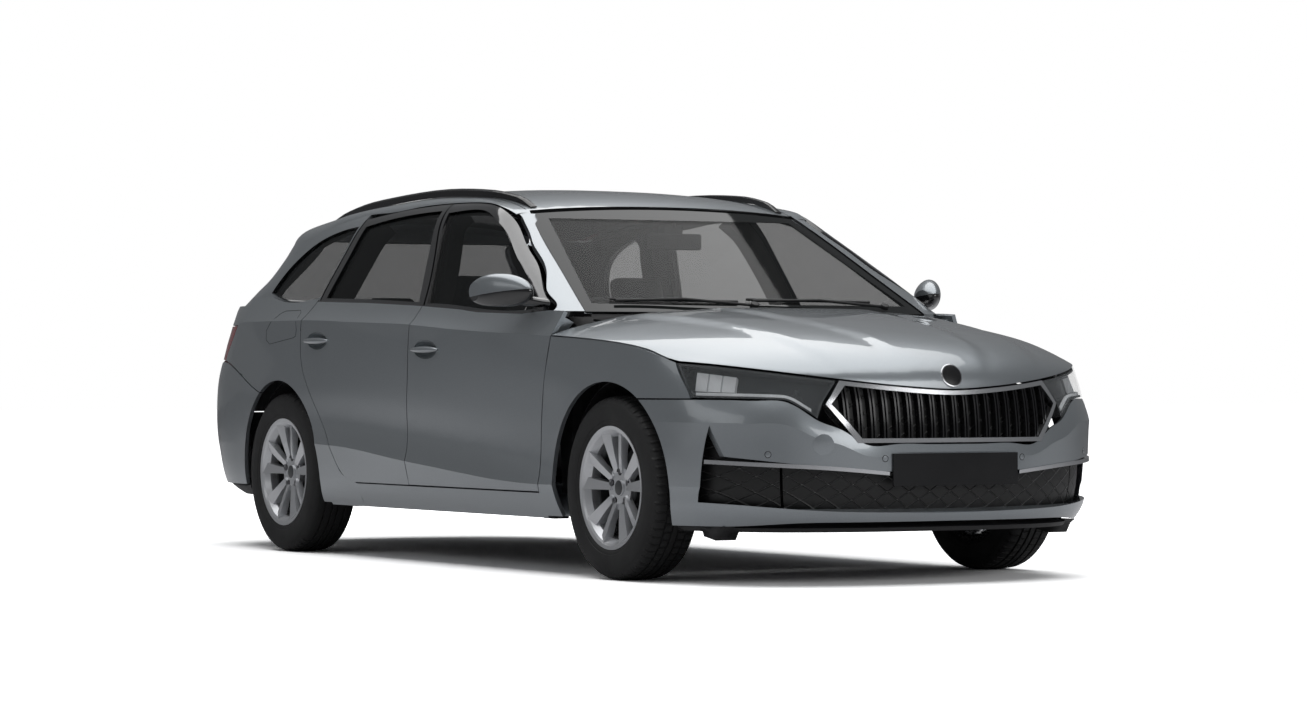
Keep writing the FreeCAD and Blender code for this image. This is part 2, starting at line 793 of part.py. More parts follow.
# Roof and windscreen
rows = []
for k, t in enumerate(even(13)):
    y_c = -366 + (1648 + 366) * t
    y_e = -352 + (1614 + 352) * t
    row = []
    for s in even(15):
        u = 2 * s - 1
        y = y_c + (y_e - y_c) * u * u
        x = u * (roof_edge(y) - 3)
        row.append(V(x, y, roof_z(x, y)))
    rows.append(row)
roof = slab(rows, 16)
node("roof_panel", roof)
rows = []
for z in (958, 1000, 1060, 1120, 1180, 1240, 1300, 1340, 1364):
    edge = SCREEN_X(z) - 2
    row = []
    for t in even(15):
        x = edge * (2 * t - 1)
        row.append(nose_point(x, z - 26 * (abs(x) / 600.0) ** 2 * (1 if z > 1300 else 0)))
    rows.append(row)
node("windscreen", slab(rows, GLASS_T + 1, 4))

# Bonnet


def nose_y(x, z):
    low, high = -2400.0, -1500.0
    for _ in range(34):
        y = (low + high) / 2
        if body_x(y, z) < max(abs(x), 8.0):
            low = y
        else:
            high = y
    return high


BONNET_COLUMNS = [k / 24.0 for k in range(-24, 25)]
RIDGE_IN = 6.0
RIDGE_OUT = 8.0
RIDGE_W = 46.0


def ramp(at):
    """Eased step from 0 to 1 across the width of a bonnet ridge."""
    t = min(1.0, max(0.0, at / RIDGE_W + 0.5))
    return t * t * (3 - 2 * t)


def bonnet_rows():
    ends = []
    for v, yc, zc, ye in (
            (0.00, None, 676, -1838), (0.035, -2318, 712, -1836), (0.08, -2296, 750, -1826),
            (0.14, -2246, 790, -1800), (0.22, -2150, 828, -1740), (0.34, -1980, 869, -1640),
            (0.50, -1740, 908, -1480), (0.66, -1510, 938, -1330), (0.82, -1330, 955, -1200),
            (1.00, -1196, 962, -1092)):
        ends.append((v, yc, zc, ye))
    rows = []
    for v, yc, zc, ye in ends:
        ze = SHUT_Z(ye) + 5
        xe = body_x(ye, ze)
        row = []
        ridge_in = (0.16 + 0.26 * v ** 0.8) * 829
        ridge_out = (0.50 + 0.30 * v) * 829
        for u in BONNET_COLUMNS:
            r = abs(u)
            x = u * xe
            front_z = 676 + (ze - 676) * r ** 1.55
            y0 = nose_y(abs(x) * 0.999, front_z)
            c0 = nose_y(0.0, 676)
            h0 = (y0 - c0) / (-1838.0 - c0)
            h = (1 - v) ** 1.5 * h0 + (1 - (1 - v) ** 1.5) * r ** 2.2
            if yc is None:
                y, z = y0, front_z
            else:
                y = yc + (ye - yc) * h
                p = 1.55 + 2.0 * min(1.0, v / 0.3)
                z = ze + (zc - ze) * (1 - r ** p)
            swell = min(1.0, v / 0.2) * min(1.0, (1.06 - v) / 0.2)
            z += swell * (RIDGE_IN * ramp(ridge_in - abs(x)) + RIDGE_OUT * ramp(ridge_out - abs(x)))
            row.append(V(x, y, z))
        rows.append(row)
    return rows


bonnet = slab(bonnet_rows(), 14)


# Wings, headlamps, front bumper and grille


def front_place_at(angle, z):
    return corner_point(-1650.0)(angle, z)


wing = panel(side_point, line((645, -1925), (768, -1838)), lambda z: FRONT_EDGE(z) - GAP / 2,
             [flat(214), row_level(2), lambda y: SHUT_Z(y) - 1], [3, 8], even(13), SKIN)
wing = wing.cut([box(600, 1000, -2100, FRONT_AXLE_Y, 100, 644), arch_front, sill, sill_box])
pair("front_wings", biggest(wing))


def shut_front(x):
    """Height of the bonnet's front edge over the nose."""
    return 676 + 97 * (abs(x) / 829.0) ** 1.55


lamp_top = line(*[(math.degrees(math.atan2(x, -1650 - nose_y(x, shut_front(x)))),
                   shut_front(x) - 6) for x in (400, 440, 520, 600, 680, 750, 800, 826)])
LAMP_IN = line((574, 40.1), (625, 39.1), (702, 35.9))
LAMP_OUT = line((645, 71.0), (768, 76.9))
LAMP_LOW = line((39.9, 575), (44, 613), (48.5, 641), (71.2, 647))


def lamp_panel(side_in, low_in, top_in, depth, inset, start=None, end=None):
    """Slab on the headlamp's outline, drawn in by margins (degrees and mm)."""
    return panel(front_place_at, start or (lambda z: LAMP_IN(z) + side_in),
                 end or (lambda z: LAMP_OUT(z) - side_in),
                 [lambda a: LAMP_LOW(a) + low_in, lambda a: lamp_top(a) - top_in],
                 [7], even(12), depth, inset)


lamp_cover = lamp_panel(0, 0, 0, 5, 0)
lamp_hollow = lamp_panel(0.7, 7, 7, 50, 5.0)
lamp_tub = lamp_panel(0.1, 1, 1, 56, 5.3).cut(lamp_hollow)
light_line = panel(front_place_at, flat(41.6), flat(70.4),
                   [lambda a: LAMP_LOW(a) + 9, lambda a: LAMP_LOW(a) + 19], [3], even(12), 9, 12)
modules = []
for a0, a1 in ((60.6, 63.9), (64.4, 67.7), (68.2, 71.5)):
    modules.append(panel(front_place_at, flat(a0), flat(a1), [lambda a: LAMP_LOW(a) + 26,
                                                              lambda a: lamp_top(a) - 22],
                         [4], even(4), 22, 28))
carrier = lamp_panel(0.8, 8, 8, 5, 49)
headlamp = biggest(lamp_tub.fuse(carrier))
pair("headlamps", headlamp)
pair("headlamp_covers", lamp_cover)
shine = [light_line] + modules
node("headlamp_lights", *(shine + [mirrored(s) for s in shine]))
bonnet_edge = [[(x, shut_front(x) + 1.5) for x in range(-826, 827, 118)],
               [(826, shut_front(826) + 1.5), (826, 300)], [(826, 300), (-826, 300)],
               [(-826, 300), (-826, shut_front(826) + 1.5)]]
wing_clear = panel(side_point, line((600, -1990), (800, -1835)), lambda z: FRONT_EDGE(z) + 6,
                   [flat(600), lambda y: SHUT_Z(y) + 4.2], [6], even(13), SKIN + 12, -1.5)
bonnet = bonnet.cut(prism_y(bonnet_edge, -2500, -1790))
bonnet = biggest(bonnet.cut(wing_clear).cut(mirrored(wing_clear)))
node("bonnet", bonnet)

FRONT_ANGLES = (-92, -84, -76, -70, -65, -60, -54, -48, -44, -40, -34, -28, -20, -10, 0, 10, 20,
                28, 34, 40, 44, 48, 54, 60, 65, 70, 76, 84, 92)


def front_top(a):
    return smooth([(0, 487), (28, 488), (31, 498), (34, 536), (39.9, 568), (44, 606), (48.5, 634),
                   (71, 639), (95, 638)], a)


def grille_half(z):
    return smooth([(488, 384), (530, 420), (625, 484), (706, 426)], z)


def grille_rows(grow=0.0):
    rows = []
    for s in even(8):
        row = []
        for t in even(17):
            u = 2 * t - 1
            z = 600.0
            for _ in range(8):
                x = u * (grille_half(z) - grow)
                z = 493 + grow + (shut_front(x) - 5 - grow - 493 - grow) * s
            row.append(V(x, nose_y(x, z), z))
        rows.append(row)
    return rows


def hexagon(grow):
    """Front-view outline of the grille moved inward."""
    xs = [384 - grow, 484 - grow * 1.2, 426 - grow]
    top = [(t * xs[2], shut_front(t * xs[2]) - 5 - grow) for t in (1, 0.6, 0.25, 0, -0.25, -0.6, -1)]
    return [[(-xs[0], 493 + grow), (xs[0], 493 + grow)], [(xs[0], 493 + grow), (xs[1], 625)],
            [(xs[1], 625), (xs[2], top[0][1])], top,
            [(-xs[2], top[0][1]), (-xs[1], 625)], [(-xs[1], 625), (-xs[0], 493 + grow)]]


def bumper_place(angle, z):
    """Nose surface with the bumper's shoulder standing out under the lamps."""
    p = front_place_at(angle, z)
    share = (z - 340) / (front_top(angle) - 340)
    out = smooth([(24, 0), (34, 9), (60, 15), (67, 14), (78, 3), (88, 0)], angle)
    out *= smooth([(0.3, 0), (0.55, 0.45), (0.74, 1), (1, 0)], share)
    a = math.radians(angle)
    return p.add(V(out * math.sin(a), -out * math.cos(a), 0))


def bumper_low(a):
    return smooth([(0, 222), (40, 221), (64, 206), (95, 204)], a)


def bumper_level(share):
    return lambda a: 340 + (front_top(a) - 340) * share


bumper = wrap([bumper_low, 250, 290, 340] + [bumper_level(t) for t in (0.25, 0.5, 0.74, 0.87, 1)],
              FRONT_ANGLES, bumper_place, SKIN, 0, (3, 6))
INTAKE = [[(-800, 553), (-768, 446)], [(-768, 446), (-573, 420), (-243, 394), (0, 388),
                                       (243, 394), (573, 420), (768, 446)],
          [(768, 446), (800, 553)], [(800, 553), (808, 440), (808, 288)],
          [(808, 288), (784, 286), (538, 264), (300, 255), (0, 251), (-300, 255), (-538, 264),
           (-784, 286), (-808, 288)],
          [(-808, 288), (-808, 440), (-800, 553)]]
intake_hole = prism_y(INTAKE, -2500, -1900)
plate_pocket = box(-264, 264, -2420, -2338, 340, 461)
ledge = wrap([240, 248], FRONT_ANGLES[4:-4], front_place_at, 34, SKIN - 2)
bumper = biggest(bumper.cut([arch_front, mirrored(arch_front), intake_hole, plate_pocket,
                             prism_y(hexagon(-0.6), -2500, -2100)]).fuse(ledge))
node("front_bumper", bumper)
splitter = wrap([189, 203.5], FRONT_ANGLES[1:-1], front_place_at, 60, -6)
for s in (1, -1):
    spat = prism_x(polygon((-2010, 190), (-2040, 206), (-1880, 206), (-1905, 168), (-1985, 156)),
                   min(s * 690, s * 775), max(s * 690, s * 775))
    splitter = splitter.fuse(spat)
splitter = biggest(splitter.cut([arch_front, mirrored(arch_front), bumper]))
node("lower_valances", splitter, rear_valance)
intake_back = wrap([252, 330, 420, 452], FRONT_ANGLES[7:-7], front_place_at, 6, SKIN + 22)
curtain_back = panel(front_place_at, flat(49), flat(72.5), [flat(262), flat(585)], [5], even(7),
                     6, SKIN + 22.3)
plate = box(-260, 260, -2344, -2338.5, 345, 456)
node("front_plate", plate)
strip = panel(front_place_at, flat(21.6), flat(66.6),
              [lambda a: smooth([(19, 379), (40, 403), (66, 421)], a),
               lambda a: smooth([(19, 391), (40, 417), (66, 435)], a)], [3], even(12), 40, -5)
strip = biggest(strip.cut([bumper, plate]))
node("bumper_trim", strip, mirrored(strip))


grille_inner = prism_y(hexagon(15), -2500, -2100)
frame_outer = prism_y(hexagon(0), -2500, -2100)
lamps = [headlamp, lamp_cover, mirrored(headlamp), mirrored(lamp_cover)]
grille_frame = slab(grille_rows(-14), 26, -2).common(frame_outer).cut(grille_inner)
node("grille_frame", biggest(grille_frame.cut(lamps)))
bars = []
for k in range(-9, 10):
    bars.append(box(k * 46 - 9, k * 46 - 3, -2500, -2100, 480, 720))
    bars.append(box(k * 46 + 3, k * 46 + 9, -2500, -2100, 480, 720))
grille_back = slab(grille_rows(), 5, 32)
intake_back = biggest(intake_back.cut(bumper))
curtain_back = biggest(curtain_back.cut([bumper, intake_back]))
node("grille_mesh", grille_back, intake_back, curtain_back, mirrored(curtain_back))
depth_band = slab(grille_rows(), 26, 6).common(grille_inner)
node("grille_slats", *[biggest(depth_band.common(bar)) for bar in bars])

# Mirrors, handles and roof rails


def ellipse(centre, ry, rz):
    e = Part.Ellipse(V(0, 0, 0), max(ry, rz), min(ry, rz)).toShape()
    w = Part.Wire([e])
    if rz > ry:
        w.rotate(V(0, 0, 0), V(0, 0, 1), 90)
    w.rotate(V(0, 0, 0), V(0, 0, 1), 90)
    w.rotate(V(0, 0, 0), V(0, 1, 0), 90)
    w.translate(centre)
    return w


mirror = Part.makeLoft([ellipse(V(872, -862, 1022), 50, 30), ellipse(V(895, -850, 1028), 78, 50),
                        ellipse(V(935, -812, 1034), 84, 60), ellipse(V(975, -752, 1034), 74, 57),
                        ellipse(V(1000, -690, 1030), 40, 34)], True)
arm = Part.makeLoft([ellipse(V(828, -895, 985), 62, 22), ellipse(V(868, -880, 992), 50, 20),
                     ellipse(V(905, -850, 1004), 44, 24)], True)
mirror = mirror.fuse(arm)
mirror = biggest(mirror.cut([front_door, front_glass]))
both("mirror", mirror)


def handle(y0, z0):
    y0 = float(y0)
    ball = Part.makeSphere(100.0)
    m = FreeCAD.Matrix()
    m.scale(V(0.16, 1.10, 0.13))
    bar = ball.transformGeometry(m)
    x = body_x(y0, z0)
    bar.translate(V(x + 6, y0, z0))
    m2 = FreeCAD.Matrix()
    m2.scale(V(0.25, 0.95, 0.36))
    cup = Part.makeSphere(100.0).transformGeometry(m2)
    cup.translate(V(x + 3, y0, z0))
    return bar, cup


for name, y0, z0 in (("front", -128, 820), ("rear", 826, 860)):
    bar, cup = handle(y0, z0)
    shape = NODES["door_%s_left" % name].cut(cup).fuse(bar)
    both("door_" + name, biggest(shape))


def rail_section(y):
    """Closed section of a roof rail across the car, just clear of the roof."""
    h = smooth([(-330, 5), (-230, 22), (250, 30), (1000, 30), (1270, 22), (1390, 5)], y)
    x0 = roof_edge(y) - 34 + smooth([(-330, -18), (0, 0)], y)
    points = [(x0, 1.2)] + [(x0 + 26 * s, 1.2 + h * (1 - 0.2 * (2 * s - 1) ** 2)) for s in even(5)]
    points.append((x0 + 26, 1.2))
    return Part.makePolygon([V(x, y, roof_z(x, y) + rise) for x, rise in points + points[:1]])


RAIL_Y = [-330, -300, -265, -230, -180, -120, -50, 30, 120, 220, 330, 450, 570, 690, 800, 900,
          1000, 1090, 1170, 1240, 1300, 1350, 1390]
pair("roof_rails", Part.makeLoft([rail_section(y) for y in RAIL_Y], True, True))

# Floor, bulkhead and wheel housings as one pressing


def housing(axle, inner):
    outer_r = LINER_R + 5
    shell = rod((inner, axle, TYRE_R), (806, axle, TYRE_R), outer_r)
    return shell, rod((inner + 5, axle, TYRE_R), (900, axle, TYRE_R), LINER_R)


tunnel_hollow = box(-102, 102, -1100, 700, 200, 322)
floor = box(-705, 705, -1066, 640, 205, 217)
floor = floor.fuse([box(-690, 690, 640, 652, 205, 372), box(-690, 690, 640, 1096, 360, 372),
                    box(-620, 620, 1084, 1096, 360, 562), box(-110, 110, -1066, 640, 212, 330)])
bulkhead = box(-690, 690, -1082, -1066, 205, 915).fuse(box(-720, 720, -1120, -1066, 903, 915))
well_wall = Part.makeCylinder(300, 162, V(0, 1830, 400))
well_room = Part.makeCylinder(290, 162, V(0, 1830, 410))
load = box(-560, 560, 1096, 2190, 550, 562).fuse(box(-700, 700, 1096, 1800, 550, 562))
load = load.fuse(well_wall).cut(well_room).fuse(box(-300, 300, 1530, 2130, 556, 562))
rails = [box(436, 466, -2150, -1082, 380, 470), box(-466, -436, -2150, -1082, 380, 470),
         box(-466, 466, -2180, -2150, 380, 470), box(-560, -510, 1560, 2170, 400, 549.7),
         box(510, 560, 1560, 2170, 400, 549.7), box(-560, 560, 2170, 2200, 400, 549.7)]
front_rails = rails[0].fuse(rails[1:3])
rear_rails = rails[3].fuse(rails[4:])
shells, wells = [], []
for axle, inner in ((FRONT_AXLE_Y, 468), (REAR_AXLE_Y, 610)):
    shell, hollow = housing(axle, inner)
    shells.append(shell)
    wells.append(hollow)
trim_low = [box(450, 900, FRONT_AXLE_Y - 450, FRONT_AXLE_Y + 450, -100, 262),
            box(605, 900, REAR_AXLE_Y - 450, REAR_AXLE_Y + 450, -100, 232)]
trim_low += [mirrored(s) for s in trim_low]
shells += [mirrored(s) for s in shells]
wells += [mirrored(s) for s in wells]
axle_hole = rod((-640, REAR_AXLE_Y, TYRE_R), (640, REAR_AXLE_Y, TYRE_R), 82)
arm_hole = box(-600, 600, 1040, REAR_AXLE_Y, 268, 372)
floor = floor.cut([tunnel_hollow, sill_box, mirrored(sill_box)] + shells + wells)
floor = biggest(floor)
bulkhead = biggest(bulkhead.cut([tunnel_hollow] + shells + wells))
load = biggest(load.cut(shells + wells))
front_rails = front_rails.cut(bulkhead)
housings = []
for k, near in ((0, [front_door, sill_box, posts, wing, bumper]), (1, [rear_door, side, posts])):
    housing_left = shells[k].cut([wells[k], trim_low[k], axle_hole, arm_hole])
    for other in near:
        housing_left = housing_left.cut(other)
    housings.append(biggest(housing_left))
    housings.append(mirrored(housings[-1]))
node("floor_pan", floor)
node("bulkhead", bulkhead)
node("load_floor", load)
node("chassis_rails", front_rails, rear_rails)
node("wheel_housings", *housings)
pads = [box(sx * 748 - 30, sx * 748 + 30, y - 40, y + 40, 198, 211.7)
        for sx in (1, -1) for y in (-860, 760)]
node("jacking_pads", *pads)

engine = box(-370, 370, -1960, -1240, 300, 760)
engine = engine.fuse([box(-300, 260, -1900, -1300, 760, 800), box(-430, -100, -1800, -1350, 385.3, 620)])
node("engine_block", engine)
subframe = box(-430, 430, -1640, -1290, 205, 250)
for s in (1, -1):
    arm_low = rod((s * 400, -1330, 232), (s * KINGPIN_X, FRONT_AXLE_Y, 232), 17)
    arm_front = rod((s * 400, -1600, 232), (s * KINGPIN_X, FRONT_AXLE_Y, 232), 15)
    outrigger = box(min(s * 425, s * 466), max(s * 425, s * 466), -1335, -1290, 340, 379.7)
    subframe = subframe.fuse([arm_low, arm_front, outrigger,
                              Part.makeSphere(20, V(s * KINGPIN_X, FRONT_AXLE_Y, 232))])
subframe = subframe.fuse([box(-430, -380, -1640, -1290, 240, 385), box(380, 430, -1640, -1290, 240, 385)])
node("front_subframe", subframe)
beam = rod((-600, REAR_AXLE_Y, TYRE_R), (600, REAR_AXLE_Y, TYRE_R), 34)
for s in (1, -1):
    beam = beam.fuse([rod((s * 590, REAR_AXLE_Y, TYRE_R), (s * 668, REAR_AXLE_Y, TYRE_R), 62),
                      box(min(s * 560, s * 590), max(s * 560, s * 590), 800, REAR_AXLE_Y, 290, 350),
                      rod((s * 668, REAR_AXLE_Y, TYRE_R), (s * 749.7, REAR_AXLE_Y, TYRE_R), 32.7),
                      rod((s * 672, REAR_AXLE_Y, TYRE_R), (s * 692, REAR_AXLE_Y, TYRE_R), 136),
                      rod((s * 575, REAR_AXLE_Y + 30, 330), (s * 575, REAR_AXLE_Y + 30, 549.7), 30)])
node("rear_axle", beam)

knuckle = rod((672, FRONT_AXLE_Y, TYRE_R), (724, FRONT_AXLE_Y, TYRE_R), 58)
knuckle = knuckle.fuse([rod((720, FRONT_AXLE_Y, TYRE_R), (749.7, FRONT_AXLE_Y, TYRE_R), 32.7),
                        rod((722, FRONT_AXLE_Y, TYRE_R), (742, FRONT_AXLE_Y, TYRE_R), 144),
                        box(676, 716, FRONT_AXLE_Y - 28, FRONT_AXLE_Y + 28, 262, 430),
                        rod((KINGPIN_X, FRONT_AXLE_Y, 252.3), (KINGPIN_X, FRONT_AXLE_Y, 270), 14),
                        rod((625, FRONT_AXLE_Y, 400), (625, FRONT_AXLE_Y, 560), 26),
                        box(600, 700, FRONT_AXLE_Y - 24, FRONT_AXLE_Y + 24, 396, 436),
                        box(702, 748, FRONT_AXLE_Y + 92, FRONT_AXLE_Y + 150, TYRE_R - 58,
                            TYRE_R + 58)])
both("knuckle", biggest(knuckle))

# Wheels


def turned(points, axle, x_sign=1):
    """Ring turned about a wheel axis from (offset along x, radius) points."""
    pts = [V(WHEEL_X + dx, axle, TYRE_R + r) for dx, r in points]
    w = Part.makePolygon(pts + [pts[0]])
    return Part.Face(w).revolve(V(WHEEL_X, axle, TYRE_R), V(1, 0, 0), 360)


TYRE = [(-82, 206), (-96, 226), (-101, 262), (-96, 300), (-84, 320), (-60, 326), (60, 326),
        (84, 320), (96, 300), (101, 262), (96, 226), (86, 212), (84, 206)]
RIM = [(-84, 205), (-86, 218), (-78, 218), (-70, 204), (-30, 186), (60, 190), (78, 204),
       (84, 219), (92, 219), (90, 206), (84, 198), (64, 182), (-30, 178), (-76, 196)]


def wheel(axle):
    tyre = turned(TYRE, axle)
    rim = turned(RIM, axle)
    hub = rod((WHEEL_X - 26, axle, TYRE_R), (WHEEL_X + 52, axle, TYRE_R), 78)
    hub = hub.cut(rod((WHEEL_X - 27, axle, TYRE_R), (WHEEL_X - 20, axle, TYRE_R), 33))
    spokes = []
    for k in range(5):
        for d, tilt in ((-14.5, 1), (14.5, -1)):
            sections = []
            for r, half, x0, x1, turn in ((56, 15, 36, 58, 6), (120, 19, 46, 70, 10),
                                          (202, 25, 50, 82, 14)):
                lift = half * math.tan(math.radians(turn * tilt))
                sections.append(Part.makePolygon([V(x0 - lift, -half, r), V(x1 - lift, -half + 3, r),
                                                  V(x1 + lift, half - 3, r), V(x0 + lift, half, r),
                                                  V(x0 - lift, -half, r)]))
            s = Part.makeLoft(sections, True, True)
            s.rotate(V(0, 0, 0), V(1, 0, 0), k * 72 + d)
            s.translate(V(WHEEL_X, axle, TYRE_R))
            spokes.append(s)
    cap = rod((WHEEL_X + 50, axle, TYRE_R), (WHEEL_X + 58, axle, TYRE_R), 30)
    rim = rim.fuse([hub, cap] + spokes)
    bolts = []
    for k in range(5):
        a = math.radians(90 + 72 * k)
        bolts.append(rod((WHEEL_X + 40, axle + 56 * math.cos(a), TYRE_R + 56 * math.sin(a)),
                         (WHEEL_X + 80, axle + 56 * math.cos(a), TYRE_R + 56 * math.sin(a)), 13))
    return tyre.cut(turned(RIM, axle)), biggest(rim.cut(bolts))


for end, axle in (("front", FRONT_AXLE_Y), ("rear", REAR_AXLE_Y)):
    tyre, rim = wheel(axle)
    both("tyre_" + end, tyre)
    both("wheel_" + end, rim)

# Cabin: dash, steering wheel, seats

dash = prism_x(polygon((-1055, 560), (-1040, 890), (-960, 935), (-760, 950), (-640, 925),
                       (-590, 860), (-640, 760), (-760, 640), (-860, 560)), -752, 752)
dash = dash.fuse([box(-120, 120, -800, 200, 330.3, 520)])
dash = dash.cut(prism_x(polygon((-900, 600), (-860, 800), (-700, 800), (-690, 600)), -740, -160))
ring = Part.makeTorus(180, 15, V(0, 0, 0), V(0, 0, 1))
wheel_parts = [Part.makeCylinder(52, 46, V(0, 0, -36)), Part.makeBox(340, 36, 14, V(-170, -18, -16)),
               Part.makeBox(34, 170, 14, V(-17, -170, -16)), Part.makeCylinder(24, 150, V(0, 0, -180))]
steer = ring.fuse(wheel_parts)
steer.rotate(V(0, 0, 0), V(1, 0, 0), -68)
steer.translate(V(-370, -470, 838))
node("steering_wheel", steer)
column_bore = Part.makeCylinder(30, 400, V(0, 0, -400))
column_bore.rotate(V(0, 0, 0), V(1, 0, 0), -68)
column_bore.translate(V(-370, -470, 838))
node("dashboard", biggest(dash.cut(column_bore)))


def cushion(x0, x1, y0, y1, z0, z1, r, lean=0.0, pivot=None):
    c = box(x0, x1, y0, y1, z0, z1)
    c = c.makeFillet(r, c.Edges)
    if lean:
        c.rotate(V(0, pivot[0], pivot[1]), V(1, 0, 0), lean)
    return c


def seat(x):
    base = cushion(x - 250, x + 250, -270, 250, 330, 450, 40)
    back = cushion(x - 245, x + 245, 190, 310, 400, 960, 42, -18, (250, 420))
    head = cushion(x - 130, x + 130, 215, 305, 990, 1170, 36, -18, (250, 420))
    posts_ = [rod((x + s * 60, 253, 900), (x + s * 60, 253, 1040), 8) for s in (-1, 1)]
    for q in posts_:
        q.rotate(V(0, 250, 420), V(1, 0, 0), -18)
    feet = [box(x - 220, x - 190, -230, 220, 217.3, 350), box(x + 190, x + 220, -230, 220, 217.3, 350)]
    return base.fuse([back, head] + posts_ + feet)


node("front_seats", seat(370), seat(-370))
bench = cushion(-600, 600, 640, 1010, 372.3, 480, 36).fuse([
    cushion(-590, 590, 930, 1040, 440, 930, 38, -20, (980, 470)),
    box(-560, 560, 700, 1000, 372.3, 420)])
heads = []
for x in (-390, 0, 390):
    h = cushion(x - 120, x + 120, 945, 1025, 950, 1090, 32, -20, (980, 470))
    pst = rod((x, 985, 880), (x, 985, 980), 10)
    pst.rotate(V(0, 980, 470), V(1, 0, 0), -20)
    heads += [h, pst]
bench = bench.fuse(heads)
node("rear_seat", bench)
node("fuel_tank", box(-560, -20, 690, 1000, 225, 359.7))
EXHAUST = [(60, -1240, 250), (60, 1010, 250), (400, 1090, 250), (400, 1480, 250), (400, 1700, 350)]
exhaust = box(300, 520, 1660, 2110, 300, 399.7)
for a, b in zip(EXHAUST, EXHAUST[1:]):
    exhaust = exhaust.fuse([rod(a, b, 27), Part.makeSphere(27, V(*b))])
node("exhaust", exhaust)
cowl_rows = []
for t, dz in ((0, 0), (0.5, 2), (1, 4)):
    row = []
    for s in even(11):
        x = 700 * (2 * s - 1)
        y = -1186 + 92 * (abs(x) / 829) ** 2.2 + 12 + t * 62
        row.append(V(x, y, 941.2 - 18 * (abs(x) / 700) ** 2 + dz))
    cowl_rows.append(row)
node("cowl", slab(cowl_rows, 8))

for name, shape in NODES.items():
    shape.exportStep("parts/%s.step" % name)
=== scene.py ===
# %% [markdown]
# A station wagon in a pale studio.
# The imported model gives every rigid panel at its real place, and this script
# never moves those panels. It gives them their finishes, adds what plain solids
# can't show, such as tread, wheel bolts and seat cloth, and sets up the camera,
# the floor and the light.

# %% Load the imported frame
import math

import bmesh
import bpy
from mathutils import Matrix, Vector
from mathutils.bvhtree import BVHTree


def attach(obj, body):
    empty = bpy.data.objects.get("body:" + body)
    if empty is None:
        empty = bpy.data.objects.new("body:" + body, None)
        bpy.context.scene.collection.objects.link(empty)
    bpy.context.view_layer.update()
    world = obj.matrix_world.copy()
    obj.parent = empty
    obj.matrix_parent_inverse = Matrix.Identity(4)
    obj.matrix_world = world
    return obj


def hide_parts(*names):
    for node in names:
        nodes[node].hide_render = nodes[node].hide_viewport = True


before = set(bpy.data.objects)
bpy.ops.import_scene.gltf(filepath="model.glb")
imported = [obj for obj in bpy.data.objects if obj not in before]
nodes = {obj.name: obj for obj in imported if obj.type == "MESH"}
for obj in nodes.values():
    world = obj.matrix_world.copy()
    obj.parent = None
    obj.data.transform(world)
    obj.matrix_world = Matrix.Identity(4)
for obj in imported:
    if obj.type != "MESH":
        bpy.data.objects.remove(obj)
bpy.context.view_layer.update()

# %% [markdown]
# The camera stands low and far away with a long lens, so the car is drawn with
# little perspective. Its place could be found by trial and error. Here it comes
# from the ellipses of the wheels and from mirrored points of the nose, which fix
# place, turn and focal length together. The focal length is known in pixels of a
# frame 1307 pixels wide, so the lens follows from the width of the sensor.

# %% Camera
FRAME_WIDTH = 1307.0
FOCAL_PIXELS = 4032.306
SENSOR_WIDTH = 36.0
CAMERA_PLACE = (-7.962, -13.777, 0.731)
CAMERA_TILT = 0.25675
CAMERA_HEADING = -30.5604

camera_data = bpy.data.cameras.new("studio_camera")
camera_data.sensor_fit = "HORIZONTAL"
camera_data.sensor_width = SENSOR_WIDTH
camera_data.lens = SENSOR_WIDTH * FOCAL_PIXELS / FRAME_WIDTH
camera_data.clip_end = 200.0
camera = bpy.data.objects.new("studio_camera", camera_data)
camera.location = CAMERA_PLACE
camera.rotation_euler = (math.radians(90.0 + CAMERA_TILT), 0.0,
                         math.radians(CAMERA_HEADING))
bpy.context.scene.collection.objects.link(camera)
bpy.context.scene.camera = camera
print("lens", round(camera_data.lens, 2), "mm")

# %% [markdown]
# Every finish is a small tree of nodes. Building one takes the same few steps
# again and again: a new material, Math nodes, and the links between them. Two
# helpers do those steps, so that each finish shows only what is its own.

# %% Helpers for node trees


def node_material(name):
    """New material with its node tree and its main shader at hand."""
    material = bpy.data.materials.new(name)
    material.use_nodes = True
    return material, material.node_tree, material.node_tree.nodes["Principled BSDF"]


def math_node(tree, operation, first, second=0.0, third=0.0, clamp=False):
    """Math node fed by sockets or plain numbers; gives its output socket."""
    item = tree.nodes.new("ShaderNodeMath")
    item.operation = operation
    item.use_clamp = clamp
    for slot, value in zip(item.inputs, (first, second, third)):
        if isinstance(value, (int, float)):
            slot.default_value = value
        else:
            tree.links.new(value, slot)
    return item.outputs[0]


print("node helpers ready")

# %% [markdown]
# A studio sweep is one pale floor without an edge. A plain floor would end in a
# horizon, so this one fades into pure white away from the car, and keeps the
# dark contact shadow near it. Only the camera sees the fade: the light that the
# floor throws back on the car stays that of a pale floor.

# %% Floor
FLOOR_HALF = 60.0
FADE_FROM, FADE_TO = 2.2, 5.5
FLOOR_COLOR = (0.55, 0.55, 0.56, 1.0)
SEEN_FLOOR_COLOR = (1.9, 1.9, 1.9, 1.0)

floor_mesh = bmesh.new()
bmesh.ops.create_grid(floor_mesh, x_segments=2, y_segments=2, size=FLOOR_HALF)
floor_data = bpy.data.meshes.new("studio_floor")
floor_mesh.to_mesh(floor_data)
floor_mesh.free()
floor = bpy.data.objects.new("studio_floor", floor_data)
bpy.context.scene.collection.objects.link(floor)

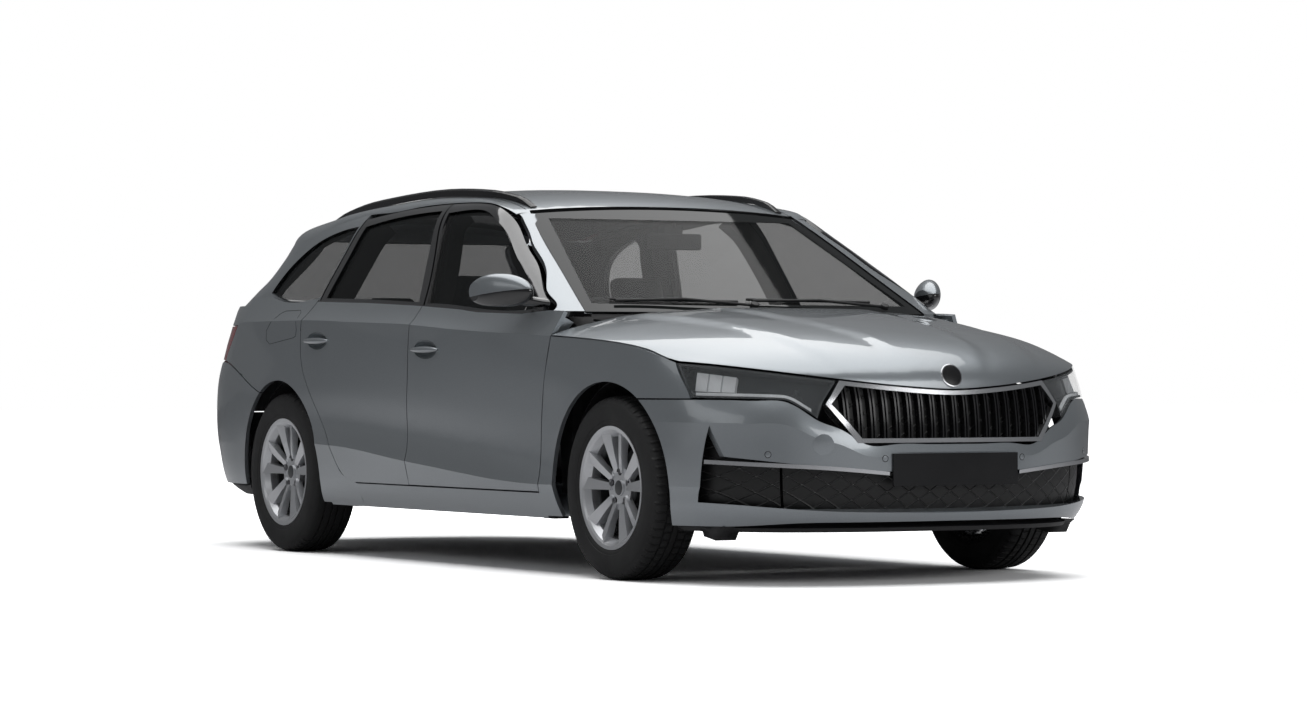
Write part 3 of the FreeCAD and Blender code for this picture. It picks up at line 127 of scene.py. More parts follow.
floor_paint, tree, shader = node_material("pale_floor")
shader.inputs["Base Color"].default_value = FLOOR_COLOR
shader.inputs["Roughness"].default_value = 0.8
place = tree.nodes.new("ShaderNodeTexCoord")
distance = tree.nodes.new("ShaderNodeVectorMath")
distance.operation = "LENGTH"
tree.links.new(place.outputs["Object"], distance.inputs[0])
fade = tree.nodes.new("ShaderNodeMapRange")
fade.interpolation_type = "SMOOTHSTEP"
fade.inputs["From Min"].default_value = FADE_FROM
fade.inputs["From Max"].default_value = FADE_TO
tree.links.new(distance.outputs["Value"], fade.inputs["Value"])
white = tree.nodes.new("ShaderNodeEmission")
tree.links.new(fade.outputs["Result"], white.inputs["Strength"])
seen_floor = tree.nodes.new("ShaderNodeBsdfDiffuse")
seen_floor.inputs["Color"].default_value = SEEN_FLOOR_COLOR
seen = tree.nodes.new("ShaderNodeAddShader")
tree.links.new(seen_floor.outputs[0], seen.inputs[0])
tree.links.new(white.outputs[0], seen.inputs[1])
path = tree.nodes.new("ShaderNodeLightPath")
choice = tree.nodes.new("ShaderNodeMixShader")
tree.links.new(path.outputs["Is Camera Ray"], choice.inputs["Fac"])
tree.links.new(shader.outputs[0], choice.inputs[1])
tree.links.new(seen.outputs[0], choice.inputs[2])
tree.links.new(choice.outputs[0], tree.nodes["Material Output"].inputs["Surface"])
floor.data.materials.append(floor_paint)
print("floor", floor.dimensions[:2])

# %% [markdown]
# The room is white where the camera looks past the car, yet dim for the car
# itself: its dark sides give the paint a dark lower half. One background can't
# be both, so the world mixes two of them by Is Camera Ray.

# %% World
ROOM_COLOR = (0.95, 0.97, 1.0, 1.0)
ROOM_LEVEL = 0.16

world = bpy.data.worlds.new("studio_world")
world.use_nodes = True
bpy.context.scene.world = world
tree = world.node_tree
room = tree.nodes["Background"]
room.inputs["Color"].default_value = ROOM_COLOR
room.inputs["Strength"].default_value = ROOM_LEVEL
backdrop = tree.nodes.new("ShaderNodeBackground")
backdrop.inputs["Color"].default_value = (1.0, 1.0, 1.0, 1.0)
backdrop.inputs["Strength"].default_value = 1.0
path = tree.nodes.new("ShaderNodeLightPath")
choice = tree.nodes.new("ShaderNodeMixShader")
tree.links.new(path.outputs["Is Camera Ray"], choice.inputs["Fac"])
tree.links.new(room.outputs[0], choice.inputs[1])
tree.links.new(backdrop.outputs[0], choice.inputs[2])
tree.links.new(choice.outputs[0], tree.nodes["World Output"].inputs["Surface"])
print("room level", ROOM_LEVEL)

# %% [markdown]
# A car studio has one very large soft ceiling, and the roof, the bonnet and the
# shoulders reflect it as broad bright bands. Small lamps would give hard spots
# instead, so all three lamps here are large rectangles: the ceiling, a narrow
# bank along the seen side and one in front. Their level is plain, so colours
# render about as they are written.

# %% Lamps
LAMPS = {
    "ceiling_light": ((0.0, 0.0, 6.5), (0.0, 0.0, 0.0), (9.0, 12.0), 640.0),
    "side_light": ((-7.5, -1.0, 3.6), (0.0, 0.0, 0.6), (8.0, 1.6), 30.0),
    "front_light": ((1.5, -9.0, 3.2), (0.0, 0.0, 0.5), (6.0, 2.0), 110.0),
}
for name, (place, target, size, power) in LAMPS.items():
    lamp_data = bpy.data.lights.new(name, "AREA")
    lamp_data.shape = "RECTANGLE"
    lamp_data.size, lamp_data.size_y = size
    lamp_data.energy = power
    lamp = bpy.data.objects.new(name, lamp_data)
    lamp.location = place
    way = Vector(target) - Vector(place)
    lamp.rotation_euler = way.to_track_quat("-Z", "Y").to_euler()
    bpy.context.scene.collection.objects.link(lamp)
bpy.context.scene.view_settings.view_transform = "Standard"
print("lamps", list(LAMPS))

# %% [markdown]
# Car paint is a metallic base under clear lacquer. The base holds tiny flakes
# that lie at slightly different angles, so its brightness sparkles at the scale
# of a millimetre. Voronoi cells with a random value each give the flakes, and
# slow noise gives the faint waves of a sprayed surface. The paint, the wheels
# and the bright trim share them, so they are one shader group.

# %% Flake group
FLOAT, COLOR = "NodeSocketFloat", "NodeSocketColor"


def group(name, sockets_in, sockets_out):
    """Shader group with named inputs and outputs."""
    tree = bpy.data.node_groups.new(name, "ShaderNodeTree")
    for label, kind, value in sockets_in:
        socket = tree.interface.new_socket(name=label, in_out="INPUT", socket_type=kind)
        socket.default_value = value
    for label, kind in sockets_out:
        tree.interface.new_socket(name=label, in_out="OUTPUT", socket_type=kind)
    return tree, tree.nodes.new("NodeGroupInput"), tree.nodes.new("NodeGroupOutput")


def tint(tree, color, factor, target):
    """Scales a colour by a factor and feeds the target socket."""
    item = tree.nodes.new("ShaderNodeVectorMath")
    item.operation = "SCALE"
    tree.links.new(color, item.inputs[0])
    tree.links.new(factor, item.inputs["Scale"])
    tree.links.new(item.outputs["Vector"], target)


flake_group, inp, out = group(
    "flake_sparkle",
    [("Color", COLOR, (0.5, 0.5, 0.5, 1.0)), ("Scale", FLOAT, 900.0),
     ("Amount", FLOAT, 0.12)],
    [("Color", COLOR), ("Height", FLOAT)])
place = flake_group.nodes.new("ShaderNodeTexCoord")
flakes = flake_group.nodes.new("ShaderNodeTexVoronoi")
waves = flake_group.nodes.new("ShaderNodeTexNoise")
waves.inputs["Scale"].default_value = 1.3
waves.inputs["Detail"].default_value = 2.0
flake_group.links.new(place.outputs["Object"], flakes.inputs["Vector"])
flake_group.links.new(place.outputs["Object"], waves.inputs["Vector"])
flake_group.links.new(inp.outputs["Scale"], flakes.inputs["Scale"])
value = flake_group.nodes.new("ShaderNodeSeparateColor")
flake_group.links.new(flakes.outputs["Color"], value.inputs["Color"])
centred = math_node(flake_group, "MULTIPLY_ADD", value.outputs[0], 2.0, -1.0)
factor = math_node(flake_group, "MULTIPLY_ADD", centred, inp.outputs["Amount"], 1.0)
tint(flake_group, inp.outputs["Color"], factor, out.inputs["Color"])
flake_group.links.new(waves.outputs["Fac"], out.inputs["Height"])
print("flake group", len(flake_group.nodes), "nodes")

# %% [markdown]
# Moulded plastic, rubber, cast metal and cloth all have a fine grain, and use
# leaves them a little lighter and darker in clouds. An image could show that,
# but it would blur close up. Here small cells make the grain, and slow noise
# shades the colour and the roughness. It is a second group, set per material.

# %% Grain group
grain_group, inp, out = group(
    "moulded_grain",
    [("Color", COLOR, (0.03, 0.03, 0.03, 1.0)), ("Scale", FLOAT, 400.0),
     ("Wear", FLOAT, 0.25), ("Roughness", FLOAT, 0.5)],
    [("Color", COLOR), ("Roughness", FLOAT), ("Height", FLOAT)])
place = grain_group.nodes.new("ShaderNodeTexCoord")
cells = grain_group.nodes.new("ShaderNodeTexVoronoi")
cells.feature = "SMOOTH_F1"
clouds = grain_group.nodes.new("ShaderNodeTexNoise")
clouds.inputs["Scale"].default_value = 6.0
clouds.inputs["Detail"].default_value = 5.0
grain_group.links.new(place.outputs["Object"], cells.inputs["Vector"])
grain_group.links.new(place.outputs["Object"], clouds.inputs["Vector"])
grain_group.links.new(inp.outputs["Scale"], cells.inputs["Scale"])
centred = math_node(grain_group, "MULTIPLY_ADD", clouds.outputs["Fac"], 2.5, -1.25)
factor = math_node(grain_group, "MULTIPLY_ADD", centred, inp.outputs["Wear"], 1.0)
tint(grain_group, inp.outputs["Color"], factor, out.inputs["Color"])
rough = math_node(grain_group, "MULTIPLY", inp.outputs["Roughness"], factor, clamp=True)
grain_group.links.new(rough, out.inputs["Roughness"])
grain_group.links.new(cells.outputs["Distance"], out.inputs["Height"])
print("grain group", len(grain_group.nodes), "nodes")

# %% [markdown]
# The finishes differ only in their numbers: how metallic the base is, how fine
# the grain and how deep the bump. Each kind is a function that places a group,
# and each finish is one line. The window panes are thin dark films with a low
# alpha, which renders faster and cleaner than refracting glass.

# %% Paint, plastic and glass
FLAKE_SCALE = 1400.0
PAINT_METALLIC, PAINT_ROUGHNESS = 0.75, 0.34
PAINT_BUMP, PAINT_BUMP_DEPTH = 0.05, 0.002
LACQUER_ROUGHNESS = 0.03
GRAIN_DEPTH = 0.0004
GLASS_ROUGHNESS = 0.03
SIDE_ALPHA, LAMP_ALPHA = 0.45, 0.10
PAINT = (0.300, 0.325, 0.345)


def use_group(tree, which, **values):
    """Places a group in a material with its own values."""
    item = tree.nodes.new("ShaderNodeGroup")
    item.node_tree = which
    for label, number in values.items():
        item.inputs[label].default_value = number
    return item


def bumped(tree, shader, height, strength, depth):
    """Raises the surface by a height socket."""
    bump = tree.nodes.new("ShaderNodeBump")
    bump.inputs["Strength"].default_value = strength
    bump.inputs["Distance"].default_value = depth
    tree.links.new(height, bump.inputs["Height"])
    tree.links.new(bump.outputs["Normal"], shader.inputs["Normal"])


def metallic_paint(name, color, amount=0.10, metallic=PAINT_METALLIC,
                   roughness=PAINT_ROUGHNESS, coat=1.0):
    """Flakes of one colour under clear lacquer."""
    material, tree, shader = node_material(name)
    flake = use_group(tree, flake_group, Color=(*color, 1.0), Scale=FLAKE_SCALE,
                      Amount=amount)
    tree.links.new(flake.outputs["Color"], shader.inputs["Base Color"])
    shader.inputs["Metallic"].default_value = metallic
    shader.inputs["Roughness"].default_value = roughness
    shader.inputs["Coat Weight"].default_value = coat
    shader.inputs["Coat Roughness"].default_value = LACQUER_ROUGHNESS
    bumped(tree, shader, flake.outputs["Height"], PAINT_BUMP, PAINT_BUMP_DEPTH)
    return material


def moulded(name, color, roughness, scale, wear, bump, metallic=0.0):
    """Grained plastic, rubber or cast metal."""
    material, tree, shader = node_material(name)
    grain = use_group(tree, grain_group, Color=(*color, 1.0), Scale=scale, Wear=wear,
                      Roughness=roughness)
    tree.links.new(grain.outputs["Color"], shader.inputs["Base Color"])
    tree.links.new(grain.outputs["Roughness"], shader.inputs["Roughness"])
    shader.inputs["Metallic"].default_value = metallic
    bumped(tree, shader, grain.outputs["Height"], bump, GRAIN_DEPTH)
    return material


def clear_glass(name, color, specular):
    """Tinted pane; its alpha is set or linked by whoever asks for it."""
    material, tree, shader = node_material(name)
    grain = use_group(tree, grain_group, Color=(*color, 1.0), Scale=3.0, Wear=0.05,
                      Roughness=GLASS_ROUGHNESS)
    tree.links.new(grain.outputs["Color"], shader.inputs["Base Color"])
    shader.inputs["Roughness"].default_value = GLASS_ROUGHNESS
    shader.inputs["Specular IOR Level"].default_value = specular
    return material, tree, shader


body_paint = metallic_paint("silver_grey_paint", PAINT)
bright_trim = metallic_paint("satin_bright_trim", (0.72, 0.73, 0.75), amount=0.03,
                             metallic=1.0, roughness=0.20, coat=0.3)
black_gloss = moulded("gloss_black_trim", (0.006, 0.006, 0.007), roughness=0.25,
                      scale=300.0, wear=0.2, bump=0.02)
black_plastic = moulded("grained_black_plastic", (0.012, 0.012, 0.013), roughness=0.52,
                        scale=700.0, wear=0.25, bump=0.2)
dark_steel = moulded("black_painted_steel", (0.012, 0.012, 0.013), roughness=0.6,
                     scale=120.0, wear=0.4, bump=0.1)
cast_metal = moulded("cast_iron", (0.09, 0.09, 0.095), roughness=0.5, scale=260.0,
                     wear=0.5, bump=0.4, metallic=0.7)
rubber = moulded("tyre_rubber", (0.012, 0.012, 0.0125), roughness=0.72, scale=380.0,
                 wear=0.35, bump=0.25)
cabin_plastic = moulded("dashboard_plastic", (0.018, 0.018, 0.020), roughness=0.6,
                        scale=900.0, wear=0.2, bump=0.3)
lamp_dark = moulded("lamp_housing", (0.05, 0.052, 0.055), roughness=0.25, scale=90.0,
                    wear=0.4, bump=0.4, metallic=0.6)
side_glass, tree, shader = clear_glass("tinted_side_glass", (0.006, 0.007, 0.007),
                                       specular=0.25)
shader.inputs["Alpha"].default_value = SIDE_ALPHA
lamp_glass, tree, shader = clear_glass("headlamp_cover", (0.30, 0.32, 0.33),
                                       specular=0.25)
shader.inputs["Alpha"].default_value = LAMP_ALPHA
print("materials", len(bpy.data.materials))

# %% [markdown]
# Some pressings carry two finishes. A door is painted up to the waist and gloss
# black round the window, the roof and the sides are dark on their inner faces,
# and the mirror has a painted cap over a black base. Cutting the mesh would leave
# ragged edges, so each is one material with a mask. The mask reads the piece's
# own Object coordinates, so its line stays put when a door swings. The waist
# isn't level: a curve node gives its height along the car.

# %% Masks from the place on the car
WAIST = ((-0.995, 0.958), (-0.806, 0.948), (-0.471, 0.958), (-0.295, 0.972),
         (0.02, 0.989), (0.449, 1.006), (0.873, 1.017), (1.373, 1.028), (1.466, 1.050))
CURVE_TOP = 2.0
HAIR = 0.0006
CABIN_FLOOR = 0.90
TURNED_IN = 0.1
CAP_HEIGHT, CAP_SLOPE = 0.945, -0.10
# Behind RIM_FACE the alloy is painted dark as the shade inside the wheel.
RIM_FACE, RIM_SOFT = 0.802, 0.012


def object_axes(tree):
    """Object coordinates of a point, as three sockets."""
    place = tree.nodes.new("ShaderNodeTexCoord")
    split = tree.nodes.new("ShaderNodeSeparateXYZ")
    tree.links.new(place.outputs["Object"], split.inputs[0])
    return split.outputs


def height_curve(tree, along, points):
    """Height as a function of the place along the car, from given points."""
    low, high = points[0][0], points[-1][0]
    curve = tree.nodes.new("ShaderNodeFloatCurve")
    line = curve.mapping.curves[0]
    line.points[0].location = (0.0, points[0][1] / CURVE_TOP)
    line.points[1].location = (1.0, points[-1][1] / CURVE_TOP)
    for at, height in points[1:-1]:
        line.points.new((at - low) / (high - low), height / CURVE_TOP)
    for point in line.points:
        point.handle_type = "VECTOR"
    curve.mapping.update()
    share = math_node(tree, "MULTIPLY_ADD", along, 1.0 / (high - low),
                      -low / (high - low), True)
    tree.links.new(share, curve.inputs["Value"])
    return math_node(tree, "MULTIPLY", curve.outputs[0], CURVE_TOP)


def above(tree, value, edge, soft=HAIR):
    """0 below an edge and 1 above it, with a hair's width between."""
    over = math_node(tree, "SUBTRACT", value, edge)
    return math_node(tree, "MULTIPLY_ADD", over, 1.0 / soft, 0.5, True)


def below(tree, value, edge, soft=HAIR):
    """1 below an edge and 0 above it."""
    return math_node(tree, "SUBTRACT", 1.0, above(tree, value, edge, soft))


def inner_face(tree):
    """1 on the faces of the roof and the sides that look into the cabin."""
    axes = object_axes(tree)
    facing = tree.nodes.new("ShaderNodeNewGeometry")
    split = tree.nodes.new("ShaderNodeSeparateXYZ")
    tree.links.new(facing.outputs["Normal"], split.inputs[0])
    hand = math_node(tree, "SIGN", axes["X"])
    outward = math_node(tree, "MULTIPLY", split.outputs["X"], hand)
    downward = math_node(tree, "MULTIPLY", split.outputs["Z"], -1.0)
    looks_in = math_node(tree, "MAXIMUM",
                         math_node(tree, "SUBTRACT", -TURNED_IN, outward),
                         math_node(tree, "SUBTRACT", downward, TURNED_IN))
    return math_node(tree, "MULTIPLY",
                     math_node(tree, "GREATER_THAN", looks_in, 0.0),
                     math_node(tree, "GREATER_THAN", axes["Z"], CABIN_FLOOR))


def above_waist(tree):
    """1 on the part of a door that frames the window."""
    axes = object_axes(tree)
    return above(tree, axes["Z"], height_curve(tree, axes["Y"], WAIST))


def below_cap(tree):
    """1 on the black base of a mirror."""
    axes = object_axes(tree)
    slope = math_node(tree, "MULTIPLY_ADD", axes["Y"], CAP_SLOPE, CAP_HEIGHT)
    return below(tree, axes["Z"], slope)


def painted_barrel_shade(tree):
    """1 behind the face of a wheel, where the barrel is painted dark as shade."""
    axes = object_axes(tree)
    return below(tree, math_node(tree, "ABSOLUTE", axes["X"]), RIM_FACE, RIM_SOFT)


print("waist from", WAIST[0], "to", WAIST[-1])

# %% [markdown]
# With a mask at hand, the mix is simple: the colour, the metallic share and the
# roughness all turn from paint to gloss black together, under one lacquer. The
# wheels use it too: their face is bright silver, and everything behind it, the
# barrel and the back of the hub, is painted dark as a painted shade inside the wheel.

# %% Two-finish paint
BLACK_ROUGHNESS = 0.14
GLOSS_BLACK = (0.008, 0.008, 0.009)


def two_finish(name, mask_of, first=PAINT, second=GLOSS_BLACK):
    """Metallic paint that turns into gloss black where the mask is 1."""
    material, tree, shader = node_material(name)
    mask = mask_of(tree)
    flake = use_group(tree, flake_group, Color=(*first, 1.0), Scale=FLAKE_SCALE,
                      Amount=0.10)
    mix = tree.nodes.new("ShaderNodeMix")
    mix.data_type = "RGBA"
    tree.links.new(mask, mix.inputs["Factor"])
    tree.links.new(flake.outputs["Color"], mix.inputs["A"])
    mix.inputs["B"].default_value = (*second, 1.0)
    tree.links.new(mix.outputs["Result"], shader.inputs["Base Color"])
    metallic = math_node(tree, "MULTIPLY_ADD", mask, -PAINT_METALLIC, PAINT_METALLIC)
    tree.links.new(metallic, shader.inputs["Metallic"])
    rough = math_node(tree, "MULTIPLY_ADD", mask, BLACK_ROUGHNESS - PAINT_ROUGHNESS,
                      PAINT_ROUGHNESS)
    tree.links.new(rough, shader.inputs["Roughness"])
    shader.inputs["Coat Weight"].default_value = 1.0
    shader.inputs["Coat Roughness"].default_value = LACQUER_ROUGHNESS
    bumped(tree, shader, flake.outputs["Height"], PAINT_BUMP, PAINT_BUMP_DEPTH)
    return material


shell_paint = two_finish("shell_paint", inner_face, second=(0.012, 0.012, 0.013))
door_paint = two_finish("door_paint", above_waist)
mirror_paint = two_finish("mirror_paint", below_cap)
# The dark colour behind the wheel face is painted shade: barrel and hub back are darkened
# where shade falls.
alloy_and_barrel_shade = two_finish("alloy_with_painted_barrel_shade", painted_barrel_shade, first=(0.60, 0.61, 0.63),
                         second=(0.045, 0.046, 0.048))
print("two-finish paints", [item.name for item in (shell_paint, door_paint,
                                                   mirror_paint, alloy_and_barrel_shade)])

# %% [markdown]
# A windscreen is glued in, and a black band printed along its edges hides the
# glue. The band could be a second mesh, but it would flicker on the glass, so it
# is a mask that lifts the alpha to 1 near the sides, the top and the foot.

# %% Windscreen glass with its printed band
SCREEN_FOOT, SCREEN_RISE = 0.96, 0.40
CLEAR_HALF_FOOT, CLEAR_HALF_TOP = 0.700, 0.520
CLEAR_TOP, CLEAR_FOOT = 1.318, 0.985
SCREEN_ALPHA = 0.30

screen_glass, tree, shader = clear_glass("windscreen_glass", (0.008, 0.009, 0.009),
                                         specular=0.2)
axes = object_axes(tree)
narrowing = (CLEAR_HALF_TOP - CLEAR_HALF_FOOT) / SCREEN_RISE
edge = math_node(tree, "MULTIPLY_ADD", axes["Z"], narrowing,
                 CLEAR_HALF_FOOT - narrowing * SCREEN_FOOT)
sides = above(tree, math_node(tree, "ABSOLUTE", axes["X"]), edge)
top = above(tree, axes["Z"], CLEAR_TOP)
foot = below(tree, axes["Z"], CLEAR_FOOT)
band = math_node(tree, "MAXIMUM", math_node(tree, "MAXIMUM", sides, top), foot)
alpha = math_node(tree, "MULTIPLY_ADD", band, 1.0 - SCREEN_ALPHA, SCREEN_ALPHA)
tree.links.new(alpha, shader.inputs["Alpha"])
print("windscreen band", len(tree.nodes), "nodes")

# %% [markdown]
# Lamp lenses carry fine upright prisms that spread the light. They are too fine
# to model, so a sine wave across the car bumps the surface, with a prism every
# 10 mm, and a weak glow keeps the lens from looking dead in its dark housing.

# %% Lit lamps
PRISM_WAVE = 620.0


def lit_lens(name, color, strength, rough):
    """Lens that glows a little, with the fine prisms moulded in it."""
    material, tree, shader = node_material(name)
    across = math_node(tree, "MULTIPLY", object_axes(tree)["X"], PRISM_WAVE)
    grain = use_group(tree, grain_group, Color=(*color, 1.0), Scale=160.0, Wear=0.3,
                      Roughness=rough)
    tree.links.new(grain.outputs["Color"], shader.inputs["Base Color"])
    tree.links.new(grain.outputs["Color"], shader.inputs["Emission Color"])
    shader.inputs["Emission Strength"].default_value = strength
    shader.inputs["Coat Weight"].default_value = 1.0
    bumped(tree, shader, math_node(tree, "SINE", across), 0.3, 0.001)
    return material


lamp_white = lit_lens("light_guides", (0.62, 0.64, 0.66), strength=0.12, rough=0.2)
red_lens = lit_lens("tail_lamp_lens", (0.20, 0.004, 0.006), strength=0.10, rough=0.10)
print("lamps", lamp_white.name, red_lens.name)

# %% [markdown]
# The lower intake is closed by a moulded mesh of flat diamonds. It is far too
# fine to cut out one by one, so its material draws it: two families of slanting
# lines cross, each line stands out a little and is painted lighter as a painted
# highlight, brighter still where two lines cross, and the spaces between are
# painted near black as the shade behind the open mesh.

# %% Diamond mesh of the lower intake
DIAMOND_WIDTH, DIAMOND_HEIGHT = 0.084, 0.054
LINE_SHARPNESS, LINE_OFFSET = 14.0, -6.0
# Painted shade fills the gaps, and painted highlights lie on the lines and their
# crossings.
GAP_SHADE, LINE_HIGHLIGHT, KNOT_HIGHLIGHT = 0.004, 0.030, 0.10

mesh_black, tree, shader = node_material("diamond_mesh")
axes = object_axes(tree)
lines = []
for sign in (1.0, -1.0):
    rise = math_node(tree, "MULTIPLY", axes["Z"], sign / DIAMOND_HEIGHT)
    slant = math_node(tree, "MULTIPLY_ADD", axes["X"], 1.0 / DIAMOND_WIDTH, rise)
    saw = math_node(tree, "FRACT", slant)
    near = math_node(tree, "ABSOLUTE", math_node(tree, "SUBTRACT", saw, 0.5))
    lines.append(math_node(tree, "MULTIPLY_ADD", near, LINE_SHARPNESS, LINE_OFFSET, True))
ridge = math_node(tree, "MAXIMUM", lines[0], lines[1])
knots = math_node(tree, "MULTIPLY", lines[0], lines[1])
level = math_node(tree, "MULTIPLY_ADD", ridge, LINE_HIGHLIGHT, GAP_SHADE)
level = math_node(tree, "MULTIPLY_ADD", knots, KNOT_HIGHLIGHT, level)
grey = tree.nodes.new("ShaderNodeCombineColor")
for channel in grey.inputs:
    tree.links.new(level, channel)
tree.links.new(grey.outputs[0], shader.inputs["Base Color"])
shader.inputs["Roughness"].default_value = 0.45
bumped(tree, shader, ridge, 0.8, 0.004)
print("mesh drawn by", len(tree.nodes), "nodes")

# %% [markdown]
# Each CAD node takes its finish by the start of its name. The doors, wings and
# bumpers share one paint, the window panes a dark tint, and what hangs below is
# black. A table shows at a glance which node gets what.

# %% Put the finishes on the CAD nodes
FINISH = {
    body_paint: ["rear_bumper", "tailgate", "bonnet", "front_wings", "front_bumper"],
    shell_paint: ["body_sides", "roof_panel"],
    door_paint: ["door_"],
    mirror_paint: ["mirror_"],
    alloy_and_barrel_shade: ["wheel_f", "wheel_r"],
    rubber: ["tyre_"],
    side_glass: ["glass_", "quarter_glasses"],
    screen_glass: ["windscreen"],
    lamp_glass: ["headlamp_covers"],
    lamp_white: ["headlamp_lights"],
    lamp_dark: ["headlamps"],
    red_lens: ["tail_lamps"],
    bright_trim: ["grille_frame", "bumper_trim"],
    black_gloss: ["grille_slats", "front_plate", "roof_rails"],
    black_plastic: ["lower_valances", "cowl"],
    mesh_black: ["grille_mesh"],
    dark_steel: ["side_frames", "floor_pan", "jacking_pads", "bulkhead", "load_floor",
                 "chassis_rails", "wheel_housings"],
    cast_metal: ["engine_block", "front_subframe", "rear_axle", "knuckle_", "exhaust"],
    cabin_plastic: ["dashboard", "steering_wheel", "fuel_tank", "front_seats",
                    "rear_seat"],
}
for material, starts in FINISH.items():
    for name, item in nodes.items():
        if name.startswith(tuple(starts)):
            item.data.materials.clear()
            item.data.materials.append(material)
print("finished nodes", sum(1 for item in nodes.values() if item.data.materials))

# %% [markdown]
# Pieces that the CAD can't show well are added on top of it. Each one is shaped as
# a bmesh, and one helper finishes them all: it turns the faces outwards, shades
# them smooth up to the sharp edges, gives the material and names the body that
# the piece rides on.

# %% Helper for new pieces
SHARP_ANGLE = 35.0


def piece(name, mesh, material, body):
    """Finished object from a bmesh, riding on a body."""
    bmesh.ops.recalc_face_normals(mesh, faces=mesh.faces)
    data = bpy.data.meshes.new(name)
    mesh.to_mesh(data)
    mesh.free()
    data.shade_smooth()
    data.set_sharp_from_angle(angle=math.radians(SHARP_ANGLE))
    item = bpy.data.objects.new(name, data)
    bpy.context.scene.collection.objects.link(item)
    data.materials.append(material)
    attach(item, body)
    return item


print("sharp edges from", SHARP_ANGLE, "degrees")

# %% [markdown]
# A tyre is a turned shape, so half of its section is drawn once as points and
# spun round the axle. Four grooves run round the tread. Real tread also has
# slots across it. A bump map would leave the outline of the tyre smooth, so the
# slots are real: faces at every fifth step of the spin are extruded and pushed
# in. The tyre replaces the plain CAD ring of the same size.

# %% Tyres
WHEEL_X, HUB_Z = 0.770, 0.326
WHEELS = [("%s_%s" % (end, hand), "%s_wheel_%s" % (end, hand), side, axle)
          for end, axle in (("front", -1.452), ("rear", 1.234))
          for hand, side in (("left", 1.0), ("right", -1.0))]
TREAD = [(0.0, 0.3260), (0.0085, 0.3259), (0.0095, 0.3192), (0.0165, 0.3192),
         (0.0175, 0.3257), (0.030, 0.3254), (0.0405, 0.3251), (0.0415, 0.3186),
         (0.0485, 0.3186), (0.0495, 0.3246), (0.060, 0.3239), (0.071, 0.3224),
         (0.080, 0.3192), (0.0875, 0.3135), (0.0935, 0.3045), (0.0962, 0.2990),
         (0.0972, 0.2975), (0.0990, 0.2850), (0.1006, 0.2720), (0.1008, 0.2620),
         (0.1000, 0.2500), (0.0978, 0.2380), (0.0962, 0.2365), (0.0955, 0.2290),
         (0.0925, 0.2230), (0.0885, 0.2195), (0.0850, 0.2160), (0.0840, 0.2065)]
TREAD_STEPS = 320
SLOT_EVERY, SLOT_DEPTH = 5, 0.0045
SHOULDER = (0.050, 0.087)
MIDDLE_RIB = (0.018, 0.040)
WELD = 1e-5


def turned_ring(mesh, profile, centre, steps):
    """Spins a closed outline of (along, radius) points round an axis along x."""
    verts = [mesh.verts.new((centre[0] + along, centre[1], centre[2] + radius))
             for along, radius in profile]
    edges = [mesh.edges.new(pair) for pair in zip(verts, verts[1:] + verts[:1])]
    bmesh.ops.spin(mesh, geom=verts + edges, cent=centre, axis=(1.0, 0.0, 0.0),
                   dvec=(0, 0, 0), angle=math.tau, steps=steps, use_merge=True,
                   use_duplicate=False)
    bmesh.ops.remove_doubles(mesh, verts=mesh.verts, dist=WELD)


def slotted(middle):
    """True for a face of the tread that is pushed in."""
    turn = int((math.atan2(middle.z, middle.y) % math.tau) / (math.tau / TREAD_STEPS))
    beat = turn % SLOT_EVERY
    if SHOULDER[0] < abs(middle.x) < SHOULDER[1]:
        return beat == (0 if middle.x > 0 else 2)
    return MIDDLE_RIB[0] < abs(middle.x) < MIDDLE_RIB[1] and beat == 4


def tyre(label, body, side, axle):
    """Tyre with its grooves and slots, in place of the CAD ring."""
    centre = Vector((side * WHEEL_X, axle, HUB_Z))
    profile = [(-along, radius) for along, radius in reversed(TREAD)] + TREAD[1:]
    mesh = bmesh.new()
    turned_ring(mesh, profile, centre, TREAD_STEPS)
    slots = [face for face in mesh.faces
             if slotted(face.calc_center_median() - centre)]
    cut = bmesh.ops.extrude_face_region(mesh, geom=slots, use_keep_orig=False)
    for vert in [item for item in cut["geom"] if isinstance(item, bmesh.types.BMVert)]:
        outward = vert.co - centre
        outward.x = 0.0
        vert.co -= outward.normalized() * SLOT_DEPTH
    item = piece("road_tyre_" + label, mesh, rubber, body)
    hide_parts("tyre_" + label)
    return item


for label, body, side, axle in WHEELS:
    made = tyre(label, body, side, axle)
print("tyre triangles about", 2 * len(made.data.polygons))

# %% [markdown]
# Five hexagon bolts hold each wheel, each with a round collar, and a plain dark
# cap closes the hub. They catch small highlights that a painted disc wouldn't,
# so they are modelled: a cone and a six-sided cone for each bolt, and a spun
# outline for the cap. All four wheels use the same values.

# %% Wheel bolts and hub caps
BOLTS, BOLT_CIRCLE = 5, 0.056
BOLT_TAPER = 0.94
BOLT_PARTS = ((0.0115, 0.0402, 0.0440, 20), (0.0088, 0.0438, 0.0535, 6))
HUB_CAP = ((0.0600, 0.0), (0.0598, 0.016), (0.0590, 0.024), (0.0575, 0.0275),
           (0.0570, 0.0275))
HUB_CAP_STEPS = 48

bolt_metal = metallic_paint("zinc_bolts", (0.16, 0.16, 0.17), amount=0.05, metallic=0.9,
                            roughness=0.35, coat=0.2)
cap_grey = moulded("hub_cap_plastic", (0.045, 0.047, 0.05), roughness=0.3, scale=300.0,
                   wear=0.2, bump=0.05)


def aimed(centre, normal):
    """Matrix that stands +Z along a normal at a point."""
    turn = normal.to_track_quat("Z", "Y").to_matrix().to_4x4()
    return Matrix.Translation(centre) @ turn


